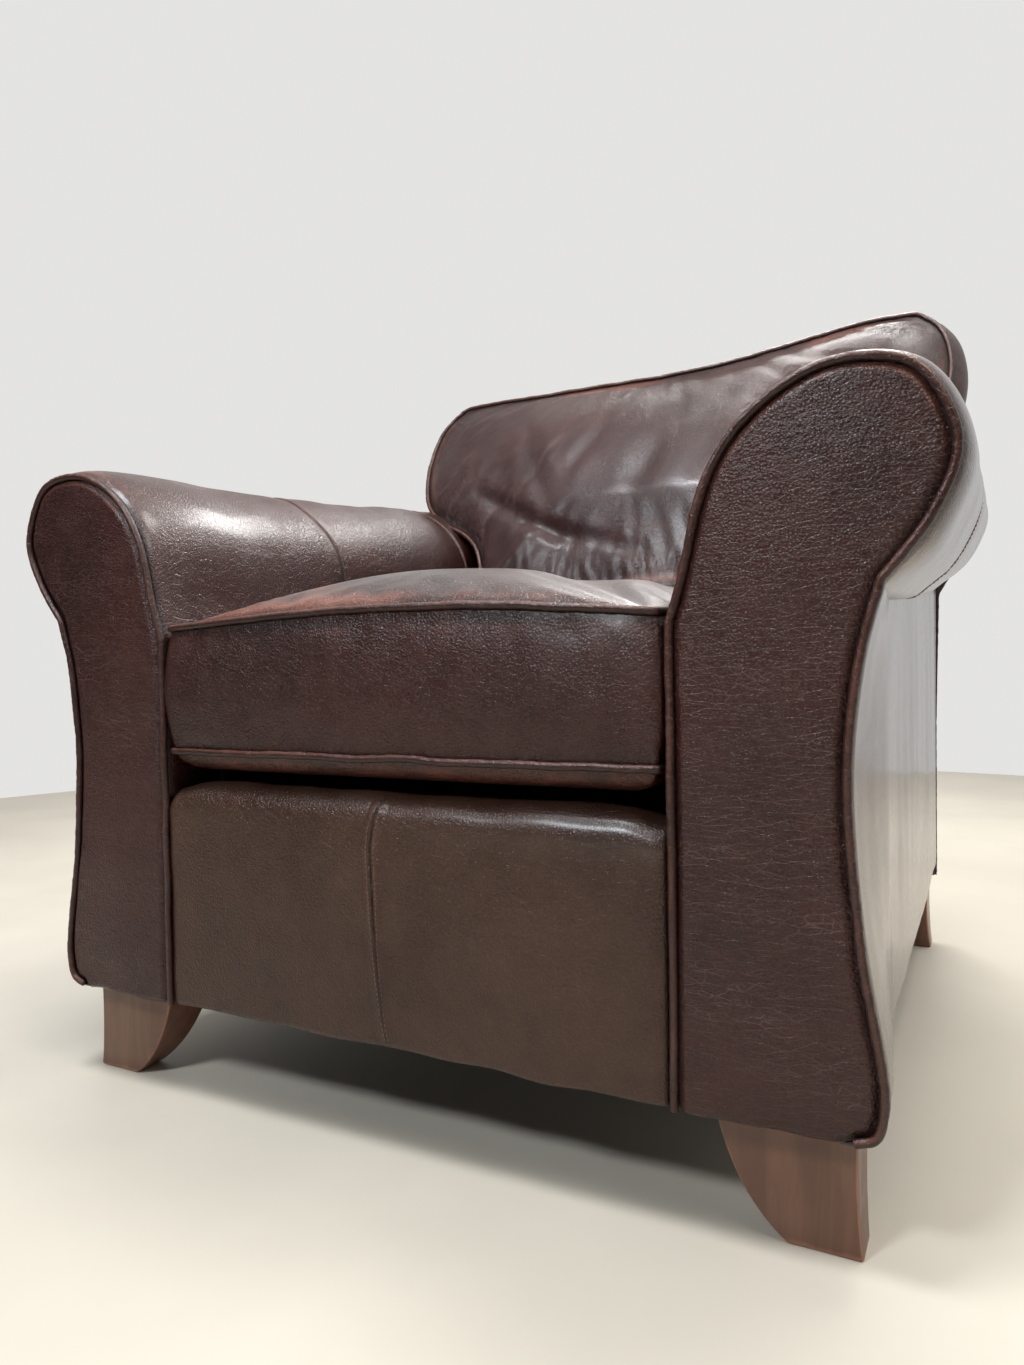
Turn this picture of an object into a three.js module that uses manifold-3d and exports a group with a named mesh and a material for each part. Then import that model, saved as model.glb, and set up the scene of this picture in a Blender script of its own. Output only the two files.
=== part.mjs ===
// A worn leather club chair with scroll arms: timber frame, springs, webbing, covers, loose
// cushions, piped seams and four bracket feet. Millimetres, +Z up, +Y towards the back.
// Every piece is laid out with y = 0 at the front of the arms and z = 0 at the floor; the
// last lines move the whole chair so that its footprint is centred on the origin.

import * as THREE from 'three';
import { mergeVertices } from 'three/addons/utils/BufferGeometryUtils.js';
import Module from 'manifold-3d';

const wasm = await Module();
wasm.setup();

// Driving dimensions
const seatHalfWidth = 257; // centre line to the inner face of an arm
const coverBottom = 93; // floor to the lower edge of the covers
const footHeight = 92.5;
const backPlane = 897; // depth of the outside back at coverBottom
const backRake = 0.053; // how far the outside back leans for each mm of height
const backTop = 812; // height of the upholstered back frame
const armRise = 70; // how much higher an arm is at its rear end
const armRiseStart = 300; // heights between which an arm's side takes up that rise
const armRiseFull = 480;
const armPadding = 14; // thickness of the padded arm cover
const rollBulge = 6; // how far the stuffed roll stands out past the facing's outline
const pipingRadius = 3.2;
const gap = 0.4; // clearance between pieces that touch

// Arm outline seen from the front: [distance from the centre line, height]
const rollPoints = [
  [257, 458], [267, 491], [286, 561], [320, 607], [374, 634], [431, 624], [457, 571], [442, 522], [410, 480],
];
const flankPoints = [
  [410, 480], [396, 425], [388, 342], [395, 238], [409, 150], [410, 119], [404, 100], [389, 93],
];
const flankRearX = 396; // the flank flattens to this distance behind the facing

// Inside back: a raked plane that the back cushion leans on
const insideBackFoot = 300; // height of its lower edge
const insideBackDepth = 664; // depth of its front face at that height
const insideBackRake = 0.4;
const insideBackPad = 16;
const shoulderHeight = 714; // above the arms the back widens to its shoulders
const shoulderHalfWidth = 386;

// Seat
const deckTop = 322;
const deckThickness = 24;
const seatRailTop = 286;
const railBottom = 98;
const seatCushion = {
  halfWidth: 248, front: 8, rear: 668, bottom: 324, bottomSeam: 348, sideTop: 470, crown: 46,
};

// Finishes
const finishes = {
  leather: { color: 0x3a211b, roughness: 0.42, metalness: 0 },
  piping: { color: 0x2e1a15, roughness: 0.4, metalness: 0 },
  footWood: { color: 0x63402c, roughness: 0.38, metalness: 0 },
  frameWood: { color: 0xc3a272, roughness: 0.8, metalness: 0 },
  blackCloth: { color: 0x171617, roughness: 0.95, metalness: 0 },
  webbing: { color: 0x24211f, roughness: 0.9, metalness: 0 },
  steel: { color: 0x8b8d90, roughness: 0.4, metalness: 0.9 },
};

const chair = new THREE.Group();

function addPiece(name, geometry, finish) {
  const mesh = new THREE.Mesh(geometry, new THREE.MeshStandardMaterial(finishes[finish]));
  mesh.name = name;
  chair.add(mesh);
  return mesh;
}

// Left is -X and right is +X, as a person who looks at the front of the chair sees them.
function onBothSides(build) {
  build('left', -1);
  build('right', 1);
}

// Inner and outer distances from the centre line, as ascending x values on one side.
function sidePair(inner, outer, side) {
  return side > 0 ? [inner, outer] : [-outer, -inner];
}

// Outlines -------------------------------------------------------------------------------

function splinePoints(points, perSpan) {
  const curve = new THREE.SplineCurve(points.map(([x, z]) => new THREE.Vector2(x, z)));
  return curve.getPoints((points.length - 1) * perSpan);
}

function edgeNormal(from, to) {
  return new THREE.Vector2(from.y - to.y, to.x - from.x).normalize();
}

// Moves every point of an outline sideways, to its left for a positive distance, with mitred corners.
function offsetOutline(points, distance, closed) {
  const last = points.length - 1;
  return points.map((point, index) => {
    const before = index > 0 ? points[index - 1] : closed && points[last];
    const after = index < last ? points[index + 1] : closed && points[0];
    const normals = [];
    if (before) normals.push(edgeNormal(before, point));
    if (after) normals.push(edgeNormal(point, after));
    const sum = normals.reduce((total, normal) => total.clone().add(normal));
    return point.clone().addScaledVector(sum, (distance * normals.length) / sum.lengthSq());
  });
}

// The facing's closed outline: up the inner edge, over the roll, down the flank, back along the foot.
function facingOutline(inset) {
  const points = [
    new THREE.Vector2(seatHalfWidth, coverBottom),
    new THREE.Vector2(seatHalfWidth, 230),
    new THREE.Vector2(seatHalfWidth, 350),
    ...splinePoints(rollPoints, 2),
    ...splinePoints(flankPoints, 1).slice(1),
  ];
  return offsetOutline(points, -inset, true);
}

function shapeOf(points, side) {
  return new THREE.Shape(points.map((point) => new THREE.Vector2(point.x * side, point.y)));
}

// Solids ---------------------------------------------------------------------------------

// A front view outline (x, z) made solid from yFront to yRear.
function extrudeBack(shape, yFront, yRear, steps = 1) {
  const depth = yRear - yFront;
  const geometry = new THREE.ExtrudeGeometry(shape, { depth, steps, bevelEnabled: false });
  return geometry.rotateX(Math.PI / 2).translate(0, yRear, 0);
}

// A side view outline (y, z) made solid from xLeft to xRight.
function extrudeAcross(shape, xLeft, xRight) {
  const geometry = new THREE.ExtrudeGeometry(shape, { depth: xRight - xLeft, bevelEnabled: false });
  const basis = new THREE.Matrix4().makeBasis(
    new THREE.Vector3(0, 1, 0),
    new THREE.Vector3(0, 0, 1),
    new THREE.Vector3(1, 0, 0),
  );
  return geometry.applyMatrix4(basis).translate(xLeft, 0, 0);
}

function boxBetween([x0, y0, z0], [x1, y1, z1]) {
  const geometry = new THREE.BoxGeometry(x1 - x0, y1 - y0, z1 - z0);
  return geometry.translate((x0 + x1) / 2, (y0 + y1) / 2, (z0 + z1) / 2);
}

// A route through given points, so that a cord bends exactly at them.
class Route extends THREE.Curve {
  constructor(points) {
    super();
    this.points = points;
  }

  getPoint(t) {
    const place = THREE.MathUtils.clamp(t, 0, 1) * (this.points.length - 1);
    const index = Math.min(Math.floor(place), this.points.length - 2);
    return this.points[index].clone().lerp(this.points[index + 1], place - index);
  }

  getPointAt(u) {
    return this.getPoint(u);
  }

  getTangentAt(u) {
    return this.getTangent(u);
  }
}

// A cord of round section along a curve. A loop's ends butt with a small gap.
function cordAlong(curve, steps, radius = pipingRadius, sides = 5) {
  const section = [];
  for (let i = 0; i < sides; i += 1) {
    const angle = (i / sides) * Math.PI * 2;
    section.push(new THREE.Vector2(radius * Math.cos(angle), radius * Math.sin(angle)));
  }
  const options = { steps, extrudePath: curve, bevelEnabled: false };
  return new THREE.ExtrudeGeometry(new THREE.Shape(section), options);
}

function cordThrough(points) {
  return cordAlong(new Route(points), points.length - 1);
}

function reshape(geometry, move) {
  const place = geometry.attributes.position;
  const point = new THREE.Vector3();
  for (let i = 0; i < place.count; i += 1) {
    point.fromBufferAttribute(place, i);
    move(point);
    place.setXYZ(i, point.x, point.y, point.z);
  }
  geometry.computeVertexNormals();
  return geometry;
}

function toSolid(geometry) {
  const bare = geometry.index ? geometry.toNonIndexed() : geometry.clone();
  bare.deleteAttribute('normal');
  bare.deleteAttribute('uv');
  const merged = mergeVertices(bare, 1e-4);
  const vertProperties = new Float32Array(merged.attributes.position.array);
  const triVerts = new Uint32Array(merged.index.array);
  return new wasm.Manifold(new wasm.Mesh({ numProp: 3, vertProperties, triVerts }));
}

function toGeometry(solid) {
  const mesh = solid.getMesh();
  const geometry = new THREE.BufferGeometry();
  geometry.setAttribute('position', new THREE.BufferAttribute(mesh.vertProperties, 3));
  geometry.setIndex(new THREE.BufferAttribute(mesh.triVerts, 1));
  geometry.computeVertexNormals();
  return geometry;
}

// The arms' own lines --------------------------------------------------------------------

function riseAt(y) {
  return armRise * Math.pow(Math.max(y, 0) / backPlane, 1.8);
}

// Lifts an arm piece towards the back, and leans it with the outside back's rake.
function followArm(point) {
  const height = point.z;
  const lean = (backRake * (height - coverBottom)) / backPlane;
  point.z += riseAt(point.y) * THREE.MathUtils.smoothstep(height, armRiseStart, armRiseFull);
  point.y *= 1 + lean;
}

function armPiece(shape, yFront, yRear, steps) {
  return reshape(extrudeBack(shape, yFront, yRear, steps), followArm);
}

// Timber frame ---------------------------------------------------------------------------

const frontRail = { front: 20, rear: 46 };
const rearRail = { front: 800, rear: 826 };
const sideRail = { inner: 264, outer: 290 };
const baseRail = { inner: 362, outer: 377 };
const frontBoard = { front: 14, rear: 34 };
const rearBoard = { front: 862, rear: 882 };

function buildSeatFrame() {
  const reach = sideRail.inner - gap;
  const front = boxBetween([-reach, frontRail.front, railBottom], [reach, frontRail.rear, seatRailTop]);
  const rear = boxBetween([-reach, rearRail.front, railBottom], [reach, rearRail.rear, seatRailTop]);
  addPiece('front_seat_rail', front, 'frameWood');
  addPiece('rear_seat_rail', rear, 'frameWood');
  onBothSides((label, side) => {
    const [xLeft, xRight] = sidePair(sideRail.inner, sideRail.outer, side);
    const rail = boxBetween([xLeft, 36, railBottom], [xRight, rearBoard.front - gap, 262]);
    addPiece(`${label}_seat_rail`, rail, 'frameWood');
  });
}

function buildArmFrames() {
  const frontOutline = facingOutline(20);
  const flankLimit = 378; // the rear board stays inside the flattened flank
  const rearOutline = frontOutline.map((point) => {
    const x = point.y < 440 ? Math.min(point.x, flankLimit) : point.x;
    return new THREE.Vector2(x, point.y);
  });
  const railShape = [[318, 556], [420, 556], [420, 580], [318, 580]].map(([x, z]) => new THREE.Vector2(x, z));
  onBothSides((label, side) => {
    const front = armPiece(shapeOf(frontOutline, side), frontBoard.front, frontBoard.rear, 1);
    const rear = armPiece(shapeOf(rearOutline, side), rearBoard.front, rearBoard.rear, 1);
    const top = armPiece(shapeOf(railShape, side), frontBoard.rear + gap, rearBoard.front - gap, 6);
    const [xLeft, xRight] = sidePair(baseRail.inner, baseRail.outer, side);
    const base = boxBetween([xLeft, 36, railBottom], [xRight, rearBoard.front - gap, 140]);
    addPiece(`${label}_arm_front_board`, front, 'frameWood');
    addPiece(`${label}_arm_rear_board`, rear, 'frameWood');
    addPiece(`${label}_arm_top_rail`, top, 'frameWood');
    addPiece(`${label}_arm_base_rail`, base, 'frameWood');
  });
}

function buildBackFrame() {
  const postSection = { width: 42, depth: 32 };
  const postFoot = new THREE.Vector3(226, 817, seatRailTop + 6);
  const postHead = new THREE.Vector3(226, 900, 744);
  const length = postFoot.distanceTo(postHead);
  const lean = Math.atan2(postHead.y - postFoot.y, postHead.z - postFoot.z);
  onBothSides((label, side) => {
    const post = addPiece(
      `${label}_back_post`,
      new THREE.BoxGeometry(postSection.width, postSection.depth, length),
      'frameWood',
    );
    post.position.set(postFoot.x * side, (postFoot.y + postHead.y) / 2, (postFoot.z + postHead.z) / 2);
    post.rotation.x = -lean;
  });
  addPiece('back_top_rail', boxBetween([-368, 884, 752], [368, 916, 795]), 'frameWood');
  const reach = seatHalfWidth - gap;
  addPiece('back_tack_rail', boxBetween([-reach, 722, 332], [reach, 746, 380]), 'frameWood');
}

// Feet -----------------------------------------------------------------------------------

const foot = { inner: 284, outer: 388, soleInner: 338, soleOuter: 391 };
const footDepth = { top: 60, sole: 34, bulge: 16 };
const bolt = { radius: 4, x: 340, bottom: 50, top: 138, setBack: 20 };
const block = { inner: 296, outer: 361, top: 150, setBack: 8, depth: 66 };

function footFrontView() {
  const shape = new THREE.Shape();
  shape.moveTo(foot.outer, footHeight);
  shape.lineTo(foot.inner, footHeight);
  shape.quadraticCurveTo(298, 28, foot.soleInner, 0);
  shape.lineTo(foot.soleOuter, 0);
  shape.quadraticCurveTo(386, 40, foot.outer, footHeight);
  return shape.getPoints(7);
}

// Side view, with distances measured from the foot's outer face.
function footSideView(facing, face) {
  const at = (distance) => face + facing * distance;
  const shape = new THREE.Shape();
  shape.moveTo(at(0), footHeight);
  shape.lineTo(at(0), 0);
  shape.lineTo(at(footDepth.sole), 0);
  shape.quadraticCurveTo(at(footDepth.sole + footDepth.bulge), 30, at(footDepth.top), footHeight);
  return shape;
}

function cylinderUp(radius, x, y, z0, z1, sides = 16) {
  const geometry = new THREE.CylinderGeometry(radius, radius, z1 - z0, sides);
  return geometry.rotateX(Math.PI / 2).translate(x, y, (z0 + z1) / 2);
}

function buildFoot(label, side, facing, face) {
  const y = face + facing * (bolt.setBack + bolt.radius);
  const x = bolt.x * side;
  const front = toSolid(extrudeBack(shapeOf(footFrontView(), side), face - 100, face + 100));
  const profile = toSolid(extrudeAcross(footSideView(facing, face), -500, 500));
  const bore = toSolid(cylinderUp(bolt.radius + gap, x, y, bolt.bottom - gap, bolt.top + 40));
  addPiece(`${label}_foot`, toGeometry(front.intersect(profile).subtract(bore)), 'footWood');
  addPiece(`${label}_foot_bolt`, cylinderUp(bolt.radius, x, y, bolt.bottom, bolt.top, 12), 'steel');
  const [xLeft, xRight] = sidePair(block.inner, block.outer, side);
  const yNear = face + facing * block.setBack;
  const yFar = yNear + facing * block.depth;
  const bottom = footHeight + gap;
  const [yFront, yRear] = [Math.min(yNear, yFar), Math.max(yNear, yFar)];
  const timber = toSolid(boxBetween([xLeft, yFront, bottom], [xRight, yRear, block.top]));
  addPiece(`${label}_foot_block`, toGeometry(timber.subtract(bore)), 'frameWood');
}

function buildFeet() {
  const frontFace = 27;
  const rearFace = 858;
  onBothSides((label, side) => {
    buildFoot(`front_${label}`, side, 1, frontFace);
    buildFoot(`rear_${label}`, side, -1, rearFace);
  });
}

// Springs and webbing --------------------------------------------------------------------

// A zigzag spring: the wire swings from side to side on its way back, and bows up slightly.
class ZigzagWire extends THREE.Curve {
  constructor(x, bends) {
    super();
    this.x = x;
    this.bends = bends;
  }

  getPoint(t) {
    const swing = 20 * Math.cos(Math.PI * this.bends * t);
    const y = THREE.MathUtils.lerp(26, 820, t);
    return new THREE.Vector3(this.x + swing, y, seatRailTop + 2.4 + 3 * Math.sin(Math.PI * t));
  }
}

function buildSprings() {
  const count = 5;
  const spacing = 98;
  for (let i = 0; i < count; i += 1) {
    const wire = new ZigzagWire((i - (count - 1) / 2) * spacing, 12);
    addPiece(`seat_spring_${i + 1}`, cordAlong(wire, 36, 1.8, 4), 'steel');
  }
}

function insideBackAt(z) {
  return insideBackDepth + insideBackRake * (z - insideBackFoot);
}

function buildWebbing() {
  const strap = { halfWidth: 26, thickness: 3, setBack: 18, bottom: 336, top: 792 };
  const faceAt = (z) => insideBackAt(z) + strap.setBack;
  [-140, 0, 140].forEach((x, index) => {
    const shape = new THREE.Shape([
      new THREE.Vector2(faceAt(strap.bottom), strap.bottom),
      new THREE.Vector2(faceAt(strap.bottom) + strap.thickness, strap.bottom),
      new THREE.Vector2(faceAt(strap.top) + strap.thickness, strap.top),
      new THREE.Vector2(faceAt(strap.top), strap.top),
    ]);
    const web = extrudeAcross(shape, x - strap.halfWidth, x + strap.halfWidth);
    addPiece(`back_webbing_${index + 1}`, web, 'webbing');
  });
}

// Covers ---------------------------------------------------------------------------------

function buildArmCovers() {
  const line = [
    new THREE.Vector2(seatHalfWidth, insideBackFoot + 1),
    new THREE.Vector2(seatHalfWidth, 400),
    ...splinePoints(rollPoints, 2),
  ];
  const bulgeAt = (point) => rollBulge * THREE.MathUtils.smoothstep(point.y, 470, 560);
  const outer = offsetOutline(line, 1, false).map((moved, i) => {
    const outward = moved.sub(line[i]);
    return line[i].clone().addScaledVector(outward, bulgeAt(line[i]));
  });
  const inner = offsetOutline(line, rollBulge - armPadding, false);
  const ring = [...outer, ...inner.reverse()];
  onBothSides((label, side) => {
    const cover = armPiece(shapeOf(ring, side), 9, backPlane - 13, 6);
    addPiece(`${label}_arm_cover`, cover, 'leather');
  });
}

function flankXAt(z) {
  const points = splinePoints(flankPoints, 4);
  const above = points.findIndex((point) => point.y <= z);
  if (above <= 0) return points[0].x;
  const [upper, lower] = [points[above - 1], points[above]];
  return THREE.MathUtils.mapLinear(z, upper.y, lower.y, upper.x, lower.x);
}

function buildOutsideArms() {
  const thickness = 7;
  const line = splinePoints(flankPoints, 2).filter((point) => point.y < 474);
  line.unshift(new THREE.Vector2(flankXAt(474), 474));
  const inner = line.map((point) => new THREE.Vector2(point.x - thickness, point.y));
  const ring = [...line, ...inner.reverse()];
  onBothSides((label, side) => {
    const panel = extrudeBack(shapeOf(ring, side), 9, backPlane - 13, 6);
    reshape(panel, (point) => {
      const flatten = THREE.MathUtils.smoothstep(point.y, 0, 200);
      const tuckUnder = 9 * (1 - THREE.MathUtils.smoothstep(point.z, coverBottom, 118));
      point.x += side * flatten * (flankRearX - tuckUnder - flankXAt(point.z));
      followArm(point);
    });
    addPiece(`${label}_outside_arm`, panel, 'leather');
  });
}

function buildFacings() {
  const pad = { front: 2, rear: 8.6, edge: 2.5 };
  const pipingInset = 3.3;
  const pipingY = 5;
  const loop = facingOutline(pipingInset);
  onBothSides((label, side) => {
    const shape = shapeOf(facingOutline(8), side);
    const options = {
      depth: pad.rear - pad.front - 2 * pad.edge,
      bevelThickness: pad.edge,
      bevelSize: pad.edge,
      bevelOffset: -pad.edge,
      bevelSegments: 1,
    };
    const facing = new THREE.ExtrudeGeometry(shape, options).rotateX(Math.PI / 2);
    addPiece(`${label}_arm_facing`, facing.translate(0, pad.rear - pad.edge, 0), 'leather');
    const path = loop.map((point) => new THREE.Vector3(point.x * side, pipingY, point.y));
    addPiece(`${label}_facing_piping`, cordThrough(path), 'piping');
  });
}

function buildFrontBorder() {
  const face = 3;
  const top = 315;
  const back = 74;
  const shape = new THREE.Shape();
  shape.moveTo(face, coverBottom + 1);
  shape.lineTo(face + 15, coverBottom + 1);
  shape.lineTo(face + 15, 292);
  shape.quadraticCurveTo(face + 15, 303, 34, 303);
  shape.lineTo(back, 303);
  shape.lineTo(back, top);
  shape.lineTo(30, top);
  shape.quadraticCurveTo(face, top, face, 290);
  const reach = seatHalfWidth - 2 * gap;
  addPiece('front_border', extrudeAcross(shape, -reach, reach), 'leather');
}

function buildSeatDeck() {
  const reach = seatHalfWidth - 2 * gap;
  const rear = insideBackAt(deckTop) - 10;
  const deck = boxBetween([-reach, 75, deckTop - deckThickness], [reach, rear, deckTop]);
  addPiece('seat_deck', deck, 'blackCloth');
}

function buildInsideBack() {
  const shape = new THREE.Shape();
  const topPad = 797;
  const cap = 815;
  const rearEnd = 919;
  shape.moveTo(insideBackAt(insideBackFoot), insideBackFoot);
  shape.lineTo(insideBackAt(insideBackFoot) + insideBackPad, insideBackFoot);
  shape.lineTo(insideBackAt(topPad) + insideBackPad, topPad);
  shape.lineTo(rearEnd, topPad);
  shape.lineTo(rearEnd, cap);
  shape.lineTo(insideBackAt(cap) + 10, cap);
  shape.quadraticCurveTo(insideBackAt(cap), cap, insideBackAt(790), 790);
  const section = toSolid(extrudeAcross(shape, -shoulderHalfWidth, shoulderHalfWidth));
  const reach = seatHalfWidth - 2 * gap;
  const outline = new THREE.Shape();
  outline.moveTo(-reach, 0);
  outline.lineTo(reach, 0);
  outline.lineTo(reach, shoulderHeight);
  outline.lineTo(shoulderHalfWidth, shoulderHeight);
  outline.lineTo(shoulderHalfWidth, 770);
  outline.quadraticCurveTo(shoulderHalfWidth, 820, shoulderHalfWidth - 50, 820);
  outline.lineTo(50 - shoulderHalfWidth, 820);
  outline.quadraticCurveTo(-shoulderHalfWidth, 820, -shoulderHalfWidth, 770);
  outline.lineTo(-shoulderHalfWidth, shoulderHeight);
  outline.lineTo(-reach, shoulderHeight);
  const silhouette = toSolid(extrudeBack(outline, 600, 1000));
  addPiece('inside_back', toGeometry(section.intersect(silhouette)), 'leather');
}

// Right half of the outside back: up the flank, round the arm's roll, over the shoulder to the middle.
function outsideBackHalf() {
  const lift = (point) => {
    const share = THREE.MathUtils.smoothstep(point.y, armRiseStart, armRiseFull);
    return new THREE.Vector2(point.x, point.y + riseAt(backPlane) * share);
  };
  const rollLine = splinePoints(rollPoints, 2).filter((point) => point.x > 390 || point.y > 480);
  const roll = offsetOutline(rollLine, rollBulge, false).map(lift).filter((point) => point.x > 330).reverse();
  const shoulder = new THREE.Shape();
  shoulder.moveTo(shoulderHalfWidth, 770);
  shoulder.quadraticCurveTo(shoulderHalfWidth, backTop, shoulderHalfWidth - 60, backTop);
  return [
    new THREE.Vector2(flankRearX, coverBottom),
    new THREE.Vector2(flankRearX, 330),
    new THREE.Vector2(flankRearX + 4, 520),
    ...roll.filter((point) => point.x > shoulderHalfWidth + 2),
    new THREE.Vector2(shoulderHalfWidth, shoulderHeight),
    ...shoulder.getPoints(4),
  ];
}

function leanBack(point) {
  point.y += backRake * (point.z - coverBottom);
}

function buildOutsideBack() {
  const thickness = 12;
  const half = outsideBackHalf();
  const mirrored = half.map((point) => new THREE.Vector2(-point.x, point.y)).reverse();
  const loop = [...half, ...mirrored];
  const inset = offsetOutline(loop, pipingRadius * 2 + gap, true);
  const panel = extrudeBack(new THREE.Shape(inset), backPlane - thickness, backPlane);
  addPiece('outside_back', reshape(panel, leanBack), 'leather');
  const cordLine = offsetOutline(loop, pipingRadius, true);
  const middle = cordLine[0].y;
  const ends = [new THREE.Vector2(1, middle), new THREE.Vector2(-1, middle)];
  const path = [ends[0], ...cordLine, ends[1]].map((point) => {
    const place = new THREE.Vector3(point.x, backPlane - 5, point.y);
    leanBack(place);
    return place;
  });
  addPiece('outside_back_piping', cordThrough(path), 'piping');
}

// Padded end of the back frame above each arm.
function buildBackSides() {
  const low = shoulderHeight + 2;
  const high = 796;
  const frontAt = (z) => insideBackAt(z) + insideBackPad + 2;
  const rearAt = (z) => backPlane + backRake * (z - coverBottom) - 13;
  const shape = new THREE.Shape([
    new THREE.Vector2(frontAt(low), low),
    new THREE.Vector2(rearAt(low), low),
    new THREE.Vector2(rearAt(high), high),
    new THREE.Vector2(frontAt(high), high),
  ]);
  const [inner, outer] = [369, shoulderHalfWidth - 1];
  addPiece('left_back_side', extrudeAcross(shape, -outer, -inner), 'leather');
  addPiece('right_back_side', extrudeAcross(shape, inner, outer), 'leather');
}

// Black cloth tacked under the frame, cut back around the feet.
function buildDustCover() {
  const [narrow, wide] = [foot.inner - 2, baseRail.inner + 12];
  const [front, frontCut, rearCut, rear] = [24, 103, 782, 880];
  const outline = [
    [-narrow, front], [narrow, front], [narrow, frontCut], [wide, frontCut],
    [wide, rearCut], [narrow, rearCut], [narrow, rear], [-narrow, rear],
    [-narrow, rearCut], [-wide, rearCut], [-wide, frontCut], [-narrow, frontCut],
  ];
  const shape = new THREE.Shape(outline.map(([x, y]) => new THREE.Vector2(x, y)));
  const cloth = new THREE.ExtrudeGeometry(shape, { depth: 2, bevelEnabled: false });
  addPiece('dust_cover', cloth.translate(0, 0, railBottom - 3), 'blackCloth');
}

// Cushions -------------------------------------------------------------------------------

// Plan of the seat cushion: u and v run from -1 to 1, and the corners are pulled in.
function seatPlan(u, v, halfWidth) {
  const middle = (seatCushion.front + seatCushion.rear) / 2;
  const halfDepth = (seatCushion.rear - seatCushion.front) / 2;
  const pull = 0.05;
  const x = halfWidth * u * (1 - pull * Math.pow(v, 8));
  const y = middle + (halfDepth + halfWidth - seatCushion.halfWidth) * v * (1 - pull * Math.pow(u, 8));
  return new THREE.Vector2(x, y);
}

function buildSeatCushion() {
  const geometry = new THREE.BoxGeometry(2, 2, 1, 10, 12, 1);
  reshape(geometry, (point) => {
    const plan = seatPlan(point.x, point.y, seatCushion.halfWidth);
    const dome = Math.pow((1 - Math.pow(point.x, 4)) * (1 - Math.pow(point.y, 6)), 0.6);
    const top = seatCushion.sideTop + seatCushion.crown * dome;
    point.z = point.z > 0 ? top : seatCushion.bottom;
    point.x = plan.x;
    point.y = plan.y;
  });
  addPiece('seat_cushion', geometry, 'leather');
  // Each edge of the plan: u and v at its two ends, and the number of steps along it.
  const edges = [
    [1, 0, 1, 1, 6],
    [1, 1, -1, 1, 10],
    [-1, 1, -1, -1, 12],
    [-1, -1, 1, -1, 10],
    [1, -1, 1, -0.004, 6],
  ];
  const rim = seatCushion.halfWidth + pipingRadius + gap;
  ['top', 'bottom'].forEach((label) => {
    const z = label === 'top' ? seatCushion.sideTop - 2 : seatCushion.bottomSeam;
    const path = [];
    edges.forEach(([u0, v0, u1, v1, count], index) => {
      for (let i = 0; i < count + (index === edges.length - 1 ? 1 : 0); i += 1) {
        const u = THREE.MathUtils.lerp(u0, u1, i / count);
        const v = THREE.MathUtils.lerp(v0, v1, i / count);
        const plan = seatPlan(u, v, rim);
        path.push(new THREE.Vector3(plan.x, plan.y, z));
      }
    });
    addPiece(`seat_cushion_${label}_piping`, cordThrough(path), 'piping');
  });
}

// Outline of the back cushion's face: [distance from the centre line, distance up the face].
const backCushion = {
  rake: 24, depth: 128, edge: 30, footY: 602, footZ: 530, shift: 6, footForward: 48,
};
const backCushionSide = [
  [234, 8], [240, 60], [250, 116], [276, 180], [346, 216],
  [390, 258], [402, 308], [394, 358], [357, 396], [300, 408],
];

function backCushionOutline() {
  const side = splinePoints(backCushionSide, 1);
  const mirrored = side.map((point) => new THREE.Vector2(-point.x, point.y)).reverse();
  return [new THREE.Vector2(0, 0), ...side, new THREE.Vector2(0, 394), ...mirrored];
}

// Thickens the cushion's foot: its lower front comes forward, its rear stays against the back.
function bringFootForward(point) {
  const turn = THREE.MathUtils.degToRad(backCushion.rake);
  const share = 1 - THREE.MathUtils.smoothstep(point.z, 90, 340);
  const forward = backCushion.footForward * share * (1 - point.y / backCushion.depth);
  point.y -= forward * Math.cos(turn);
  point.z -= forward * Math.sin(turn);
}

function buildBackCushion() {
  const outline = backCushionOutline();
  const options = {
    depth: backCushion.depth - 2 * backCushion.edge,
    bevelThickness: backCushion.edge,
    bevelSize: backCushion.edge,
    bevelOffset: -backCushion.edge,
    bevelSegments: 2,
  };
  const body = new THREE.ExtrudeGeometry(new THREE.Shape(outline), options).rotateX(Math.PI / 2);
  const seat = new THREE.Group();
  seat.position.set(backCushion.shift, backCushion.footY, backCushion.footZ);
  seat.rotation.x = -THREE.MathUtils.degToRad(backCushion.rake);
  body.translate(0, backCushion.depth - backCushion.edge, 0);
  const cushion = addPiece('back_cushion', reshape(body, bringFootForward), 'leather');
  const loop = offsetOutline(outline, -(pipingRadius + gap), true);
  const path = [
    new THREE.Vector2(2, loop[0].y),
    ...loop.slice(1),
    new THREE.Vector2(-2, loop[0].y),
  ].map((point) => new THREE.Vector3(point.x, backCushion.edge + 4, point.y));
  path.forEach(bringFootForward);
  const piping = addPiece('back_cushion_piping', cordThrough(path), 'piping');
  seat.add(cushion, piping);
  chair.add(seat);
}

buildSeatFrame();
buildArmFrames();
buildBackFrame();
buildFeet();
buildSprings();
buildWebbing();
buildArmCovers();
buildOutsideArms();
buildFacings();
buildFrontBorder();
buildSeatDeck();
buildInsideBack();
buildOutsideBack();
buildBackSides();
buildDustCover();
buildSeatCushion();
buildBackCushion();

// Stand the chair with the middle of its footprint on the origin and its soles on z = 0.
chair.updateMatrixWorld(true);
const bounds = new THREE.Box3().setFromObject(chair, true);
const centre = bounds.getCenter(new THREE.Vector3());
chair.position.set(-centre.x, -centre.y, -bounds.min.z);

export default chair;
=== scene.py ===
# The looks of a worn leather club chair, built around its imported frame.
import math

import bpy
import numpy as np
from mathutils import Matrix, Vector


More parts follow.
